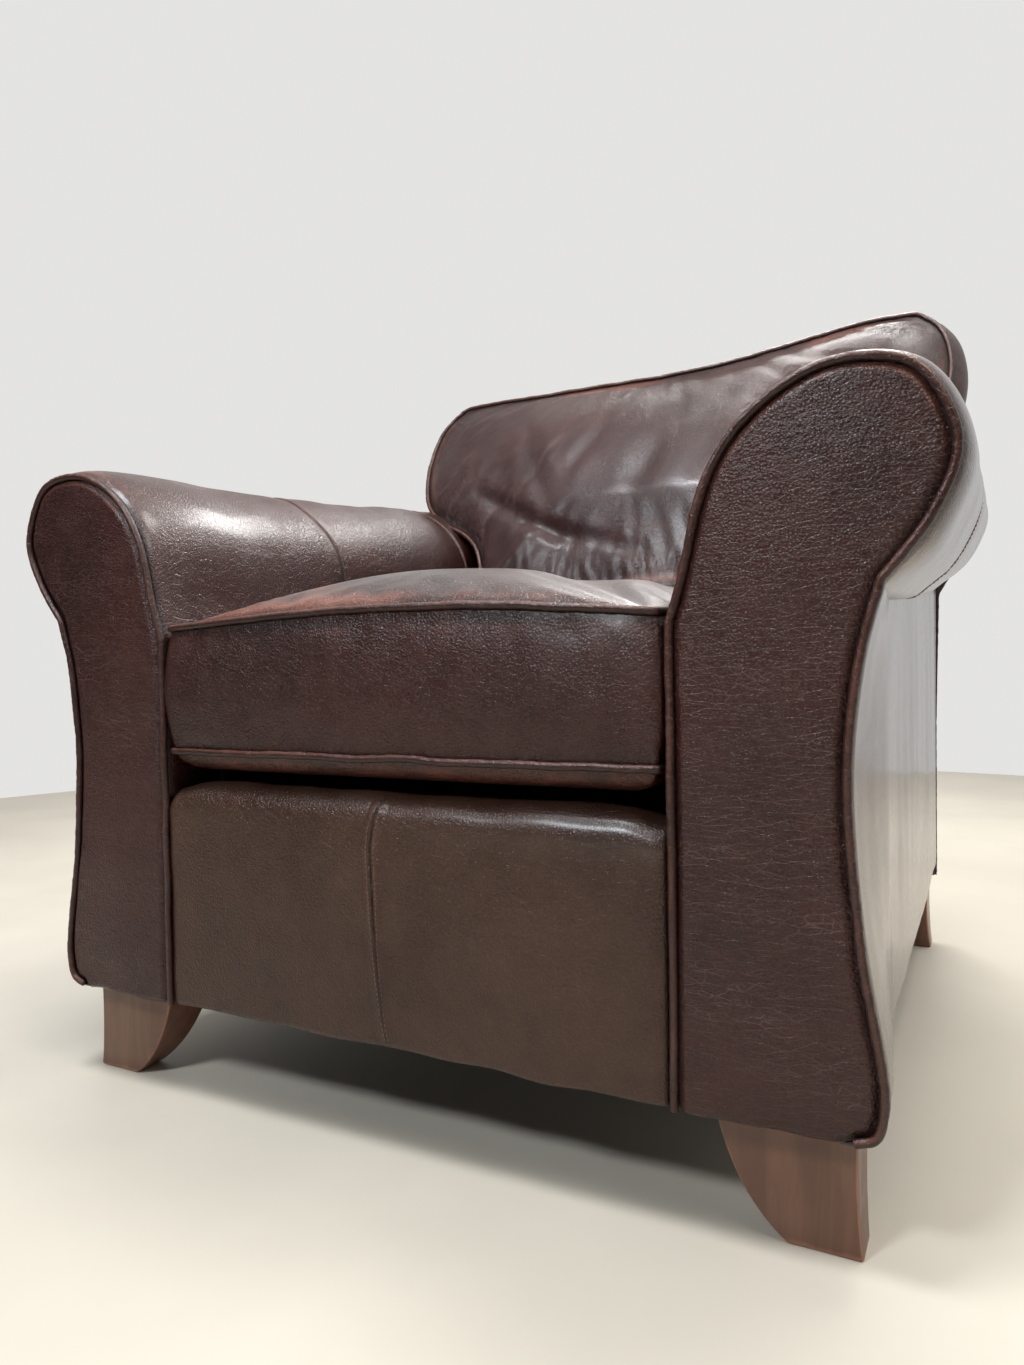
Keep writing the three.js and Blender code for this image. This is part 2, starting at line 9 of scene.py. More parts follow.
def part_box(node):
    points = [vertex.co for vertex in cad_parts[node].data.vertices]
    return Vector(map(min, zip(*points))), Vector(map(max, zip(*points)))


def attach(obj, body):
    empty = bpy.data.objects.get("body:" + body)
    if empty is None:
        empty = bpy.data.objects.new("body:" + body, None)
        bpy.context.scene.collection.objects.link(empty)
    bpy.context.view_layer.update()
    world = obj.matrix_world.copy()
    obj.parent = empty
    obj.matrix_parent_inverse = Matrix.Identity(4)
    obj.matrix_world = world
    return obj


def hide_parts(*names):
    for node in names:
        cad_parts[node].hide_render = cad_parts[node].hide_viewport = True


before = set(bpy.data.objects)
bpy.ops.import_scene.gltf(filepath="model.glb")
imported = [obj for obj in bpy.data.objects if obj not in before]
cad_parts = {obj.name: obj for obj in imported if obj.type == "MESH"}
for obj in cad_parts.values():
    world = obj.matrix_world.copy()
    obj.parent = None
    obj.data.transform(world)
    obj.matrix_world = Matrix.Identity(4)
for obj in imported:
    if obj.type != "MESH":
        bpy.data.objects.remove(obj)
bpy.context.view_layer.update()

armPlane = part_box("front_right_foot")[0].y - 0.027  # the front plane of the arms
print("frame loaded, arms' front plane at", round(armPlane, 4))

# Everything below is laid out in millimetres with y = 0 at the arms' front plane, and turned
# into metres in the chair's frame by newPiece.


# 0 below low and 1 above high, level at both ends: 3t^2 - 2t^3.
def smooth(x, low, high):
    t = np.clip((x - low) / (high - low), 0, 1)
    return t * t * (3 - 2 * t)


# A bell that is 1 at centre and falls away over width.
def bell(x, centre, width):
    return np.exp(-(((x - centre) / width) ** 2))


# From a at share 0 to b at share 1, in a straight line.
def mix(a, b, share):
    return a + (b - a) * share


# Soft wandering value near -1 to 1: a sum of sine waves with seeded directions and lengths.
def softNoise(points, size, seed, stretch=(1, 1, 1), count=14):
    chance = np.random.default_rng(seed)
    directions = chance.normal(size=(count, 3))
    directions /= np.linalg.norm(directions, axis=1)[:, None]
    waves = directions / (size * chance.uniform(0.55, 1.9, count))[:, None]
    phase = chance.uniform(0, 2 * np.pi, count)
    angle = (points / np.array(stretch)) @ waves.T * (2 * np.pi) + phase
    return np.sin(angle).sum(-1) * math.sqrt(2 / count) * 0.75


# Thin wandering lines: 1 where softNoise crosses zero, falling away over width.
def foldLines(points, size, seed, width=0.12, stretch=(1, 1, 1)):
    return bell(softNoise(points, size, seed, stretch), 0, width)


# Catmull-Rom curve through the points, perSpan steps between each two.
def throughPoints(points, perSpan):
    p = np.asarray(points, float)
    p = np.concatenate([p[:1], p, p[-1:]])
    a, b, c, d = (q[:, None, :] for q in (p[:-3], p[1:-2], p[2:-1], p[3:]))
    t = (np.arange(perSpan) / perSpan)[None, :, None]
    out, into = (c - a) / 2, (d - b) / 2
    curve = (2 * b - 2 * c + out + into) * t**3 + (3 * c - 3 * b - 2 * out - into) * t**2 + out * t + b
    return np.concatenate([curve.reshape(-1, p.shape[1]), p[-1:]])


# Length of the line from its start to each of its points: the running sum of its steps.
def lengthAlong(line):
    steps = np.linalg.norm(np.diff(line, axis=0), axis=1)
    return np.concatenate([[0], np.cumsum(steps)])


# The same line with count points, evenly spaced or at the given shares of its length.
def evenly(line, count=None, shares=None):
    along = lengthAlong(line)
    at = (np.linspace(0, 1, count) if shares is None else shares) * along[-1]
    return np.stack([np.interp(at, along, line[:, k]) for k in range(line.shape[1])], -1)


# Moves a flat line to its left by distance.
def offsetLine(line, distance, closed=False):
    if closed:
        along = np.roll(line, -1, 0) - np.roll(line, 1, 0)
    else:
        along = np.gradient(line, axis=0)
    along = along / np.linalg.norm(along, axis=1)[:, None]
    return line + np.stack([-along[:, 1], along[:, 0]], -1) * np.asarray(distance).reshape(-1, 1)


# Shortest distance from flat points to a line, with the place along the line of the nearest part.
def distanceTo(points, line):
    flat = points.reshape(-1, 2)
    start, step = line[:-1], np.diff(line, axis=0)
    size = (step**2).sum(1)
    best = np.full(len(flat), 1e9)
    place = np.zeros(len(flat))
    along = lengthAlong(line)
    for first in range(0, len(flat), 4000):
        part = flat[first : first + 4000, None, :]
        t = np.clip(((part - start) * step).sum(-1) / size, 0, 1)
        gap = np.linalg.norm(part - start - t[..., None] * step, axis=-1)
        nearest = gap.argmin(1)
        rows = np.arange(len(nearest))
        best[first : first + 4000] = gap[rows, nearest]
        place[first : first + 4000] = along[nearest] + t[rows, nearest] * np.sqrt(size[nearest])
    return best.reshape(points.shape[:-1]), place.reshape(points.shape[:-1])


# Four-sided faces of a grid of rows and columns, joined round where it closes.
def gridFaces(rows, columns, closedRows=False, closedColumns=False):
    index = np.arange(rows * columns).reshape(rows, columns)
    if closedColumns:
        index = np.concatenate([index, index[:, :1]], 1)
    if closedRows:
        index = np.concatenate([index, index[:1]], 0)
    corners = [index[:-1, :-1], index[:-1, 1:], index[1:, 1:], index[1:, :-1]]
    return np.stack(corners, -1).reshape(-1, 4)


# Triangles from each edge of a ring to one point.
def fanFaces(ring, tip):
    return np.stack([ring, np.roll(ring, -1), np.full(len(ring), tip)], -1)


# A piece of the chair. points are millimetres in the layout, faces a list of index arrays. Open
# sheets are turned to face away from the point inside, closed shells by the sign of their volume.
def newPiece(name, points, faces, material, slot=None, replaced=(), values=None, inside=None,
             thickness=0, ridden=True):
    points = np.asarray(points, float).reshape(-1, 3)
    faces = faces if isinstance(faces, list) else [faces]
    corners = [points[f[:, :3]] - (0 if inside is None else np.asarray(inside, float)) for f in faces]
    volume = sum(float((np.cross(c[:, 0], c[:, 1]) * c[:, 2]).sum()) for c in corners)
    if volume < 0:
        faces = [f[:, ::-1] for f in faces]
    name = f"{name}_finished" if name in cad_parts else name
    mesh = bpy.data.meshes.new(name)
    mesh.vertices.add(len(points))
    mesh.vertices.foreach_set("co", (points * 0.001 + (0, armPlane, 0)).astype(np.float32).ravel())
    loops = np.concatenate([f.ravel() for f in faces])
    sizes = np.concatenate([np.full(len(f), f.shape[1]) for f in faces])
    mesh.loops.add(len(loops))
    mesh.loops.foreach_set("vertex_index", loops.astype(np.int32))
    mesh.polygons.add(len(sizes))
    mesh.polygons.foreach_set("loop_start", np.concatenate([[0], np.cumsum(sizes)[:-1]]).astype(np.int32))
    mesh.polygons.foreach_set("use_smooth", np.ones(len(sizes), bool))
    mesh.update(calc_edges=True)
    mesh.validate()
    for key, value in (values or {}).items():
        mesh.attributes.new(key, "FLOAT", "POINT").data.foreach_set(
            "value", np.broadcast_to(value, points.shape[:1]).astype(np.float32).ravel())
    piece = bpy.data.objects.new(name, mesh)
    bpy.context.scene.collection.objects.link(piece)
    mesh.materials.append(material)
    if thickness:
        shell = piece.modifiers.new("thickness", "SOLIDIFY")
        shell.thickness, shell.offset = thickness * 0.001, -1
    if ridden:
        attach(piece, "root")
        if replaced:
            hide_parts(*replaced)
    return piece


# A round cord along a path: a ring of sides points at right angles to the path at each point,
# its radius varied by gathers. reference is a direction that is never along the path.
def cordPoints(path, radius, sides=10, closed=False, reference=(0, 1, 0), gathers=0.0, seed=1):
    if closed:
        tangent = np.roll(path, -1, 0) - np.roll(path, 1, 0)
    else:
        tangent = np.gradient(path, axis=0)
    tangent = tangent / np.linalg.norm(tangent, axis=1)[:, None]
    across = np.cross(tangent, np.broadcast_to(np.asarray(reference, float), path.shape))
    across /= np.linalg.norm(across, axis=1)[:, None]
    upward = np.cross(across, tangent)
    angle = np.arange(sides) / sides * 2 * np.pi
    outward = across[:, None] * np.cos(angle)[None, :, None] + upward[:, None] * np.sin(angle)[None, :, None]
    base = path[:, None] + outward * radius
    wobble = 1 + gathers * (softNoise(base, 5, seed) * 0.6 + softNoise(base, 16, seed + 1) * 0.4)
    return path[:, None] + outward * radius * wobble[..., None], outward


# The rings of cordPoints as a piece; an open cord runs to a point at each end. It is paler on the side that
# faces the given direction: partly wear, partly a painted highlight.
def addCord(name, path, radius, material, closed=False, sides=10, reference=(0, 1, 0), worn=(0, -1, 0.6),
            gathers=0.08, seed=1, **more):
    rings, outward = cordPoints(path, radius, sides, closed, reference, gathers, seed)
    rows = len(path)
    points = rings.reshape(-1, 3)
    faces = [gridFaces(rows, sides, closed, True)]
    worn = np.asarray(worn, float) / np.linalg.norm(worn)
    # Partly wear, partly painted highlight: the side of the cord facing that direction is marked paler.
    rubAndLight = smooth((outward @ worn).ravel(), 0.25, 1.0)
    if not closed:
        tips = np.stack([path[0] * 1.6 - path[1] * 0.6, path[-1] * 1.6 - path[-2] * 0.6])
        points = np.concatenate([points, tips])
        rubAndLight = np.concatenate([rubAndLight, [0, 0]])
        first = np.arange(sides)
        faces += [fanFaces(first[::-1], rows * sides), fanFaces(first + (rows - 1) * sides, rows * sides + 1)]
    return newPiece(name, points, faces, material, slot="piping", values={"rubAndLight": rubAndLight}, **more)


# A row of stitches: small lens-shaped threads that lie along a path, tipped a little.
def addStitches(name, path, away, material, pitch=4.6, length=3.3, radius=0.42, slot="leather", skew=0.12):
    along = lengthAlong(path)
    count = int(along[-1] / pitch)
    at = (np.arange(count) + 0.5) / count
    middle = evenly(path, shares=at)
    tangent = evenly(path, shares=at + 0.2 / count) - middle
    tangent /= np.linalg.norm(tangent, axis=1)[:, None]
    lift = evenly(np.broadcast_to(np.asarray(away, float), path.shape), shares=at)
    lift /= np.linalg.norm(lift, axis=1)[:, None]
    side = np.cross(tangent, lift)
    tangent = tangent + side * skew
    t = np.linspace(-1, 1, 5)
    profile = np.sqrt(np.clip(1.04 - t**2, 0.02, 1)) * radius
    angle = np.arange(6) / 6 * 2 * np.pi
    rings = (middle[:, None, None] + tangent[:, None, None] * (t * length / 2)[None, :, None, None]
             + (side[:, None, None] * np.cos(angle)[None, None, :, None]
                + lift[:, None, None] * np.sin(angle)[None, None, :, None]) * profile[None, :, None, None]
             + lift[:, None, None] * (radius * 0.25 - 0.5 * radius * t**2)[None, :, None, None])
    size = 5 * 6
    one = [gridFaces(5, 6, False, True)]
    ends = np.array([[5, 4, 3, 2, 1, 0], [24, 25, 26, 27, 28, 29]])
    shift = (np.arange(count) * size)[:, None, None]
    faces = [(one[0][None] + shift).reshape(-1, 4), (ends[None] + shift).reshape(-1, 6)]
    return newPiece(name, rings, faces, material, slot=slot)


print("helpers ready")


# A node with its settings and inputs; an input that is a socket is linked.
def addNode(tree, kind, inputs=None, **settings):
    made = tree.nodes.new("ShaderNode" + kind)
    for key, value in settings.items():
        setattr(made, key, value)
    for key, value in (inputs or {}).items():
        socket = made.inputs[key]
        if isinstance(value, bpy.types.NodeSocket):
            tree.links.new(value, socket)
        else:
            socket.default_value = value
    return made


# An empty node group with its named inputs and its outputs, which are all numbers.
def newGroup(name, inputs, outputs):
    group = bpy.data.node_groups.new(name, "ShaderNodeTree")
    for key, value in inputs.items():
        kind = "NodeSocketVector" if key in ("Place", "Stretch") else "NodeSocketFloat"
        socket = group.interface.new_socket(name=key, in_out="INPUT", socket_type=kind)
        socket.default_value = value
    for key in outputs:
        group.interface.new_socket(name=key, in_out="OUTPUT", socket_type="NodeSocketFloat")
    return group, group.nodes.new("NodeGroupInput").outputs, group.nodes.new("NodeGroupOutput").inputs


# Two numbers or sockets put through one Math node.
def math2(tree, operation, a, b=0.0):
    return addNode(tree, "Math", {0: a, 1: b}, operation=operation).outputs[0]


# From 0 at low to 1 at high, or the other way round when low is above high.
def ramp(tree, value, low, high, top=1.0):
    made = addNode(tree, "MapRange", {"Value": value, "From Min": low, "From Max": high, "To Max": top},
                   interpolation_type="SMOOTHSTEP")
    return made.outputs["Result"]


# A place multiplied by stretch, axis by axis.
def scaled(tree, vector, stretch):
    return addNode(tree, "VectorMath", {0: vector, 1: stretch}, operation="MULTIPLY").outputs[0]


# A place moved by soft noise, up to half of amount each way.
def pushed(tree, vector, scale, amount, detail=2.0):
    cloud = addNode(tree, "TexNoise", {"Vector": vector, "Scale": scale, "Detail": detail}).outputs["Color"]
    centred = addNode(tree, "VectorMath", {0: cloud, 1: (0.5, 0.5, 0.5)}, operation="SUBTRACT").outputs[0]
    moved = addNode(tree, "VectorMath", {0: centred, "Scale": amount}, operation="SCALE").outputs[0]
    return addNode(tree, "VectorMath", {0: vector, 1: moved}, operation="ADD").outputs[0]


# Pebbled hide: rounded cells about Cell metres across with furrows between and a finer pore on top.
def makeHideGrain():
    tree, given, out = newGroup("hideGrain", {"Place": (0, 0, 0), "Cell": 0.0022, "Stretch": (1, 1, 1)},
                                ("Height", "Furrow"))
    scale = math2(tree, "DIVIDE", 1.0, given["Cell"])
    place = scaled(tree, given["Place"], given["Stretch"])
    moved = pushed(tree, place, 160.0, 0.0022)
    cells = addNode(tree, "TexVoronoi", {"Vector": moved, "Scale": scale, "Randomness": 0.95},
                    feature="SMOOTH_F1")
    cells.inputs["Smoothness"].default_value = 0.35
    edges = addNode(tree, "TexVoronoi", {"Vector": moved, "Scale": scale, "Randomness": 0.95},
                    feature="DISTANCE_TO_EDGE")
    fine = addNode(tree, "TexNoise", {"Vector": place, "Scale": 1400.0, "Detail": 2.0}).outputs["Fac"]
    wide = addNode(tree, "TexNoise", {"Vector": place, "Scale": 70.0, "Detail": 3.0}).outputs["Fac"]
    dome = ramp(tree, cells.outputs["Distance"], 0.75, 0.05)
    furrow = ramp(tree, edges.outputs["Distance"], 0.16, 0.0)
    sized = math2(tree, "MULTIPLY", dome, math2(tree, "ADD", 0.65, ramp(tree, wide, 0.25, 0.75, 0.35)))
    height = math2(tree, "ADD", math2(tree, "MULTIPLY", sized, 0.75), math2(tree, "MULTIPLY", fine, 0.2))
    tree.links.new(math2(tree, "SUBTRACT", height, math2(tree, "MULTIPLY", furrow, 0.16)), out["Height"])
    tree.links.new(furrow, out["Furrow"])
    return tree


# Fine use creases: a net of long thin lines, stretched one way and broken up, in two sizes.
def makeHideCreases():
    tree, given, out = newGroup("hideCreases", {"Place": (0, 0, 0), "Stretch": (1, 1, 1), "Width": 0.05},
                                ("Line", "Depth"))
    place = pushed(tree, scaled(tree, given["Place"], given["Stretch"]), 30.0, 0.012, 3.0)
    coarse = addNode(tree, "TexVoronoi", {"Vector": place, "Scale": 75.0}, feature="DISTANCE_TO_EDGE")
    small = addNode(tree, "TexVoronoi", {"Vector": place, "Scale": 190.0}, feature="DISTANCE_TO_EDGE")
    patch = addNode(tree, "TexNoise", {"Vector": place, "Scale": 9.0, "Detail": 3.0}).outputs["Fac"]
    broken = addNode(tree, "TexNoise", {"Vector": place, "Scale": 60.0, "Detail": 2.0}).outputs["Fac"]
    lineA = addNode(tree, "MapRange", {"Value": coarse.outputs["Distance"], "From Min": given["Width"],
                                       "From Max": 0.0}, interpolation_type="SMOOTHSTEP").outputs["Result"]
    lineB = addNode(tree, "MapRange", {"Value": small.outputs["Distance"], "From Min": given["Width"],
                                       "From Max": 0.0}, interpolation_type="SMOOTHSTEP").outputs["Result"]
    both = math2(tree, "MAXIMUM", lineA, math2(tree, "MULTIPLY", lineB, 0.6))
    shown = math2(tree, "MULTIPLY", ramp(tree, patch, 0.35, 0.68), ramp(tree, broken, 0.35, 0.6))
    line = math2(tree, "MULTIPLY", both, shown)
    tree.links.new(line, out["Line"])
    tree.links.new(both, out["Depth"])
    return tree


# Patchy colour of dyed hide: a wide cloud, a middle mottle and small flecks.
def makeHidePatina():
    tree, given, out = newGroup("hidePatina", {"Place": (0, 0, 0), "Scale": 1.0},
                                ("Cloud", "Mottle", "Fleck"))
    for key, scale, detail, low, high in (("Cloud", 4.5, 4.0, 0.32, 0.7), ("Mottle", 38.0, 5.0, 0.35, 0.68),
                                          ("Fleck", 300.0, 2.0, 0.62, 0.8)):
        size = math2(tree, "MULTIPLY", given["Scale"], scale)
        cloud = addNode(tree, "TexNoise", {"Vector": given["Place"], "Scale": size, "Detail": detail})
        tree.links.new(ramp(tree, cloud.outputs["Fac"], low, high), out[key])
    return tree


# Rubbed edges: where the piece is marked as rubbed, worn first on the tops of the grain. On the seat and the
# piping the same mark also carries painted sheen, painted floor light and painted highlights.
def makeRubbedEdge():
    tree, given, out = newGroup("rubbedEdgeAndLight", {"Place": (0, 0, 0), "RubAndLight": 0.0, "Height": 0.5, "Reach": 1.0},
                                ("Mask", "Shine"))
    broken = addNode(tree, "TexNoise", {"Vector": given["Place"], "Scale": 55.0,
                                        "Detail": 5.0}).outputs["Fac"]
    patch = addNode(tree, "TexNoise", {"Vector": given["Place"], "Scale": 9.0, "Detail": 2.0}).outputs["Fac"]
    rubAndLight = math2(tree, "MULTIPLY", given["RubAndLight"], given["Reach"])
    uneven = math2(tree, "ADD", math2(tree, "MULTIPLY", broken, 0.7), math2(tree, "MULTIPLY", patch, 0.5))
    raised = math2(tree, "ADD", math2(tree, "MULTIPLY", given["Height"], 0.25), uneven)
    reach = math2(tree, "SUBTRACT", math2(tree, "MULTIPLY", rubAndLight, 1.5), math2(tree, "SUBTRACT", 1.25, raised))
    tree.links.new(ramp(tree, reach, -0.15, 0.75), out["Mask"])
    tree.links.new(ramp(tree, rubAndLight, 0.0, 1.0), out["Shine"])
    return tree


# Pale specks and lint lying on the surface, thicker where it faces up.
def makeDustSpecks():
    tree, given, out = newGroup("dustSpecks", {"Place": (0, 0, 0), "Amount": 0.5}, ("Speck", "Film"))
    dots = addNode(tree, "TexVoronoi", {"Vector": given["Place"], "Scale": 62.0, "Randomness": 1.0},
                   feature="F1")
    size = addNode(tree, "TexNoise", {"Vector": given["Place"], "Scale": 47.0, "Detail": 1.0}).outputs["Fac"]
    reach = math2(tree, "MULTIPLY", ramp(tree, size, 0.55, 0.85), 0.055)
    speck = math2(tree, "LESS_THAN", dots.outputs["Distance"], reach)
    tree.links.new(math2(tree, "MULTIPLY", speck, given["Amount"]), out["Speck"])
    haze = addNode(tree, "TexNoise", {"Vector": given["Place"], "Scale": 14.0, "Detail": 6.0}).outputs["Fac"]
    upward = addNode(tree, "SeparateXYZ", {0: addNode(tree, "NewGeometry").outputs["Normal"]}).outputs["Z"]
    lying = math2(tree, "MULTIPLY", ramp(tree, haze, 0.35, 0.8), ramp(tree, upward, -0.1, 0.9))
    tree.links.new(math2(tree, "MULTIPLY", lying, given["Amount"]), out["Film"])
    return tree


hideGrain = makeHideGrain()
hideCreases = makeHideCreases()
hidePatina = makeHidePatina()
rubbedEdgeAndLight = makeRubbedEdge()
dustSpecks = makeDustSpecks()


# A material with nothing but its shader, linked to the output.
def newMaterial(name, colour):
    material = bpy.data.materials.new(name)
    material.use_nodes = True
    material.diffuse_color = (*colour, 1)
    tree = material.node_tree
    tree.nodes.clear()
    shader = addNode(tree, "BsdfPrincipled")
    end = addNode(tree, "OutputMaterial")
    tree.links.new(shader.outputs[0], end.inputs[0])
    return material, tree, shader


# A group placed in a material, with its values set or linked.
def useGroup(tree, group, inputs):
    made = tree.nodes.new("ShaderNodeGroup")
    made.node_tree = group
    for key, value in inputs.items():
        if isinstance(value, bpy.types.NodeSocket):
            tree.links.new(value, made.inputs[key])
        else:
            made.inputs[key].default_value = value
    return made.outputs


# Colour a where share is 0 and b where it is 1.
def mixColour(tree, share, a, b):
    made = tree.nodes.new("ShaderNodeMix")
    made.data_type = "RGBA"
    for socket, value in ((made.inputs[0], share), (made.inputs[6], a), (made.inputs[7], b)):
        if isinstance(value, bpy.types.NodeSocket):
            tree.links.new(value, socket)
        else:
            socket.default_value = value if isinstance(value, (int, float)) else (*value, 1)[:4]
    return made.outputs[2]


# Colours are linear. Lengths are metres. grainStretch above 1 squeezes the grain that way.
leatherLook = {
    "deep": (0.021, 0.0048, 0.0040),
    "body": (0.044, 0.0096, 0.0072),
    "warm": (0.068, 0.0205, 0.0125),
    # The next colour is rubbed leather; on the seat and piping it is also painted sheen, painted floor light
    # and painted highlights.
    "worn": (0.19, 0.068, 0.045),
    "crease": (0.16, 0.095, 0.08),
    "dust": (0.42, 0.39, 0.36),
    "cell": 0.0024,
    "grainStretch": (1, 1, 1),
    "grainDepth": 0.0005,
    "creaseStretch": (1, 1, 1),
    "creaseWidth": 0.045,
    "creaseDepth": 0.0002,
    "creaseColour": 0.35,
    "rubReach": 1.0,
    "dustAmount": 0.25,
    "roughness": 0.36,
    "specular": 0.42,
    "coat": 0.03,
    "coatRoughness": 0.25,
    "sheen": 0.0,
}


# Dyed and finished leather. The piece's rub, fold and seam marks steer wear, pale folds and near-black
# painted shade in seams and grooves; on the seat and piping the rub mark also carries painted sheen, painted
# floor light and painted highlights.
def makeLeather(name, **changes):
    look = {**leatherLook, **changes}
    material, tree, shader = newMaterial(name, look["body"])
    place = addNode(tree, "TexCoord").outputs["Object"]
    marks = {key: addNode(tree, "Attribute", attribute_name=key, attribute_type="GEOMETRY").outputs["Fac"]
             for key in ("rubAndLight", "fold", "seamShade")}
    grain = useGroup(tree, hideGrain, {"Place": place, "Cell": look["cell"], "Stretch": look["grainStretch"]})
    creases = useGroup(tree, hideCreases, {"Place": place, "Stretch": look["creaseStretch"],
                                           "Width": look["creaseWidth"]})
    patina = useGroup(tree, hidePatina, {"Place": place})
    rubbedAndLit = useGroup(tree, rubbedEdgeAndLight, {"Place": place, "RubAndLight": marks["rubAndLight"], "Height": grain["Height"],
                                         "Reach": look["rubReach"]})
    dust = useGroup(tree, dustSpecks, {"Place": place, "Amount": look["dustAmount"]})
    colour = mixColour(tree, patina["Cloud"], look["deep"], look["body"])
    colour = mixColour(tree, math2(tree, "MULTIPLY", patina["Mottle"], 0.28), colour, look["warm"])
    colour = mixColour(tree, math2(tree, "MULTIPLY", grain["Furrow"], 0.45), colour, look["deep"])
    pale = math2(tree, "MULTIPLY", creases["Line"], look["creaseColour"])
    colour = mixColour(tree, pale, colour, look["crease"])
    colour = mixColour(tree, math2(tree, "MULTIPLY", marks["fold"], 0.45), colour, look["crease"])
    colour = mixColour(tree, rubbedAndLit["Mask"], colour, look["worn"])
    # Painted shade: near-black where the piece marks its seams, grooves and joints.
    colour = mixColour(tree, math2(tree, "MULTIPLY", marks["seamShade"], 0.85), colour, (0.008, 0.005, 0.004))
    colour = mixColour(tree, math2(tree, "MULTIPLY", dust["Film"], 0.1), colour, look["dust"])
    colour = mixColour(tree, dust["Speck"], colour, look["dust"])
    tree.links.new(colour, shader.inputs["Base Color"])
    rough = math2(tree, "ADD", look["roughness"] - 0.03, math2(tree, "MULTIPLY", patina["Mottle"], 0.05))
    rough = math2(tree, "SUBTRACT", rough, math2(tree, "MULTIPLY", rubbedAndLit["Shine"], 0.08))
    rough = math2(tree, "ADD", rough, math2(tree, "MULTIPLY", dust["Film"], 0.12))
    tree.links.new(rough, shader.inputs["Roughness"])
    flat = ramp(tree, marks["rubAndLight"], 0.0, 1.0, 0.35)
    height = math2(tree, "MULTIPLY", grain["Height"], math2(tree, "SUBTRACT", 1.0, flat))
    deep = math2(tree, "MULTIPLY", creases["Depth"], look["creaseDepth"] / look["grainDepth"])
    height = math2(tree, "SUBTRACT", height, deep)
    bump = addNode(tree, "Bump", {"Height": height, "Strength": 1.0, "Distance": look["grainDepth"]})
    tree.links.new(bump.outputs[0], shader.inputs["Normal"])
    shader.inputs["Specular IOR Level"].default_value = look["specular"]
    sleek = addNode(tree, "Attribute", attribute_name="sleek", attribute_type="GEOMETRY").outputs["Fac"]
    tree.links.new(math2(tree, "MAXIMUM", sleek, look["coat"]), shader.inputs["Coat Weight"])
    shader.inputs["Coat Roughness"].default_value = look["coatRoughness"]
    shader.inputs["Sheen Weight"].default_value = look["sheen"]
    shader.inputs["Sheen Roughness"].default_value = 0.5
    return material


leathers = {
    "facing": makeLeather("facingLeather", creaseStretch=(0.8, 1, 2.2), creaseColour=0.42, dustAmount=0.35),
    "arm": makeLeather("armLeather", creaseStretch=(1, 1.3, 1), roughness=0.34, dustAmount=0.15,
                       grainDepth=0.0004, coatRoughness=0.2),
    "outside": makeLeather("outsideLeather", roughness=0.42, cell=0.0021, creaseColour=0.12, coat=0.75,
                           coatRoughness=0.14, grainDepth=0.0002),
    # Painted floor light: the border's leather is paler and more olive than the rest, for the light its front
    # takes from the floor.
    "border": makeLeather("borderLeatherFloorLit", deep=(0.032, 0.0125, 0.0075), body=(0.062, 0.0265, 0.0155),
                          warm=(0.085, 0.040, 0.024), creaseColour=0.15, cell=0.0024, grainDepth=0.0005,
                          roughness=0.35, coatRoughness=0.28),
    "seat": makeLeather("seatLeather", cell=0.0025, warm=(0.075, 0.027, 0.018), creaseStretch=(1.6, 1.6, 2.0),
                        creaseColour=0.15, roughness=0.35, grainDepth=0.0005, coatRoughness=0.3),
    # Painted sheen: the back's leather is paler and greyer than the rest.
    "back": makeLeather("backLeatherSheen", cell=0.002, grainDepth=0.0002, roughness=0.36, coat=0.08,
                        creaseStretch=(1.6, 1.6, 1.6), creaseColour=0.2, body=(0.05, 0.02, 0.0185),
                        warm=(0.08, 0.034, 0.028)),
    "piping": makeLeather("pipingLeather", cell=0.0016, grainDepth=0.0002, roughness=0.4, rubReach=0.72,
                          body=(0.03, 0.0125, 0.011), worn=(0.12, 0.048, 0.034), dustAmount=0.2),
}


# Figured wood: long waves of early and late growth along the grain, with fine pores.
def makeWoodGrain():
    tree, given, out = newGroup("woodGrain", {"Place": (0, 0, 0), "Stretch": (1, 1, 1)},
                                ("Figure", "Pore", "Smudge"))
    along = scaled(tree, given["Place"], given["Stretch"])
    moved = pushed(tree, along, 8.0, 0.03, 3.0)
    rings = addNode(tree, "TexNoise", {"Vector": moved, "Scale": 38.0, "Distortion": 1.2, "Detail": 5.0})
    closer = scaled(tree, along, (6, 6, 6))
    pores = addNode(tree, "TexNoise", {"Vector": closer, "Scale": 60.0, "Detail": 4.0})
    smudge = addNode(tree, "TexNoise", {"Vector": given["Place"], "Scale": 24.0, "Detail": 4.0})
    tree.links.new(ramp(tree, rings.outputs["Fac"], 0.35, 0.68), out["Figure"])
    tree.links.new(ramp(tree, pores.outputs["Fac"], 0.5, 0.7), out["Pore"])
    tree.links.new(ramp(tree, smudge.outputs["Fac"], 0.45, 0.7), out["Smudge"])
    return tree


woodGrain = makeWoodGrain()


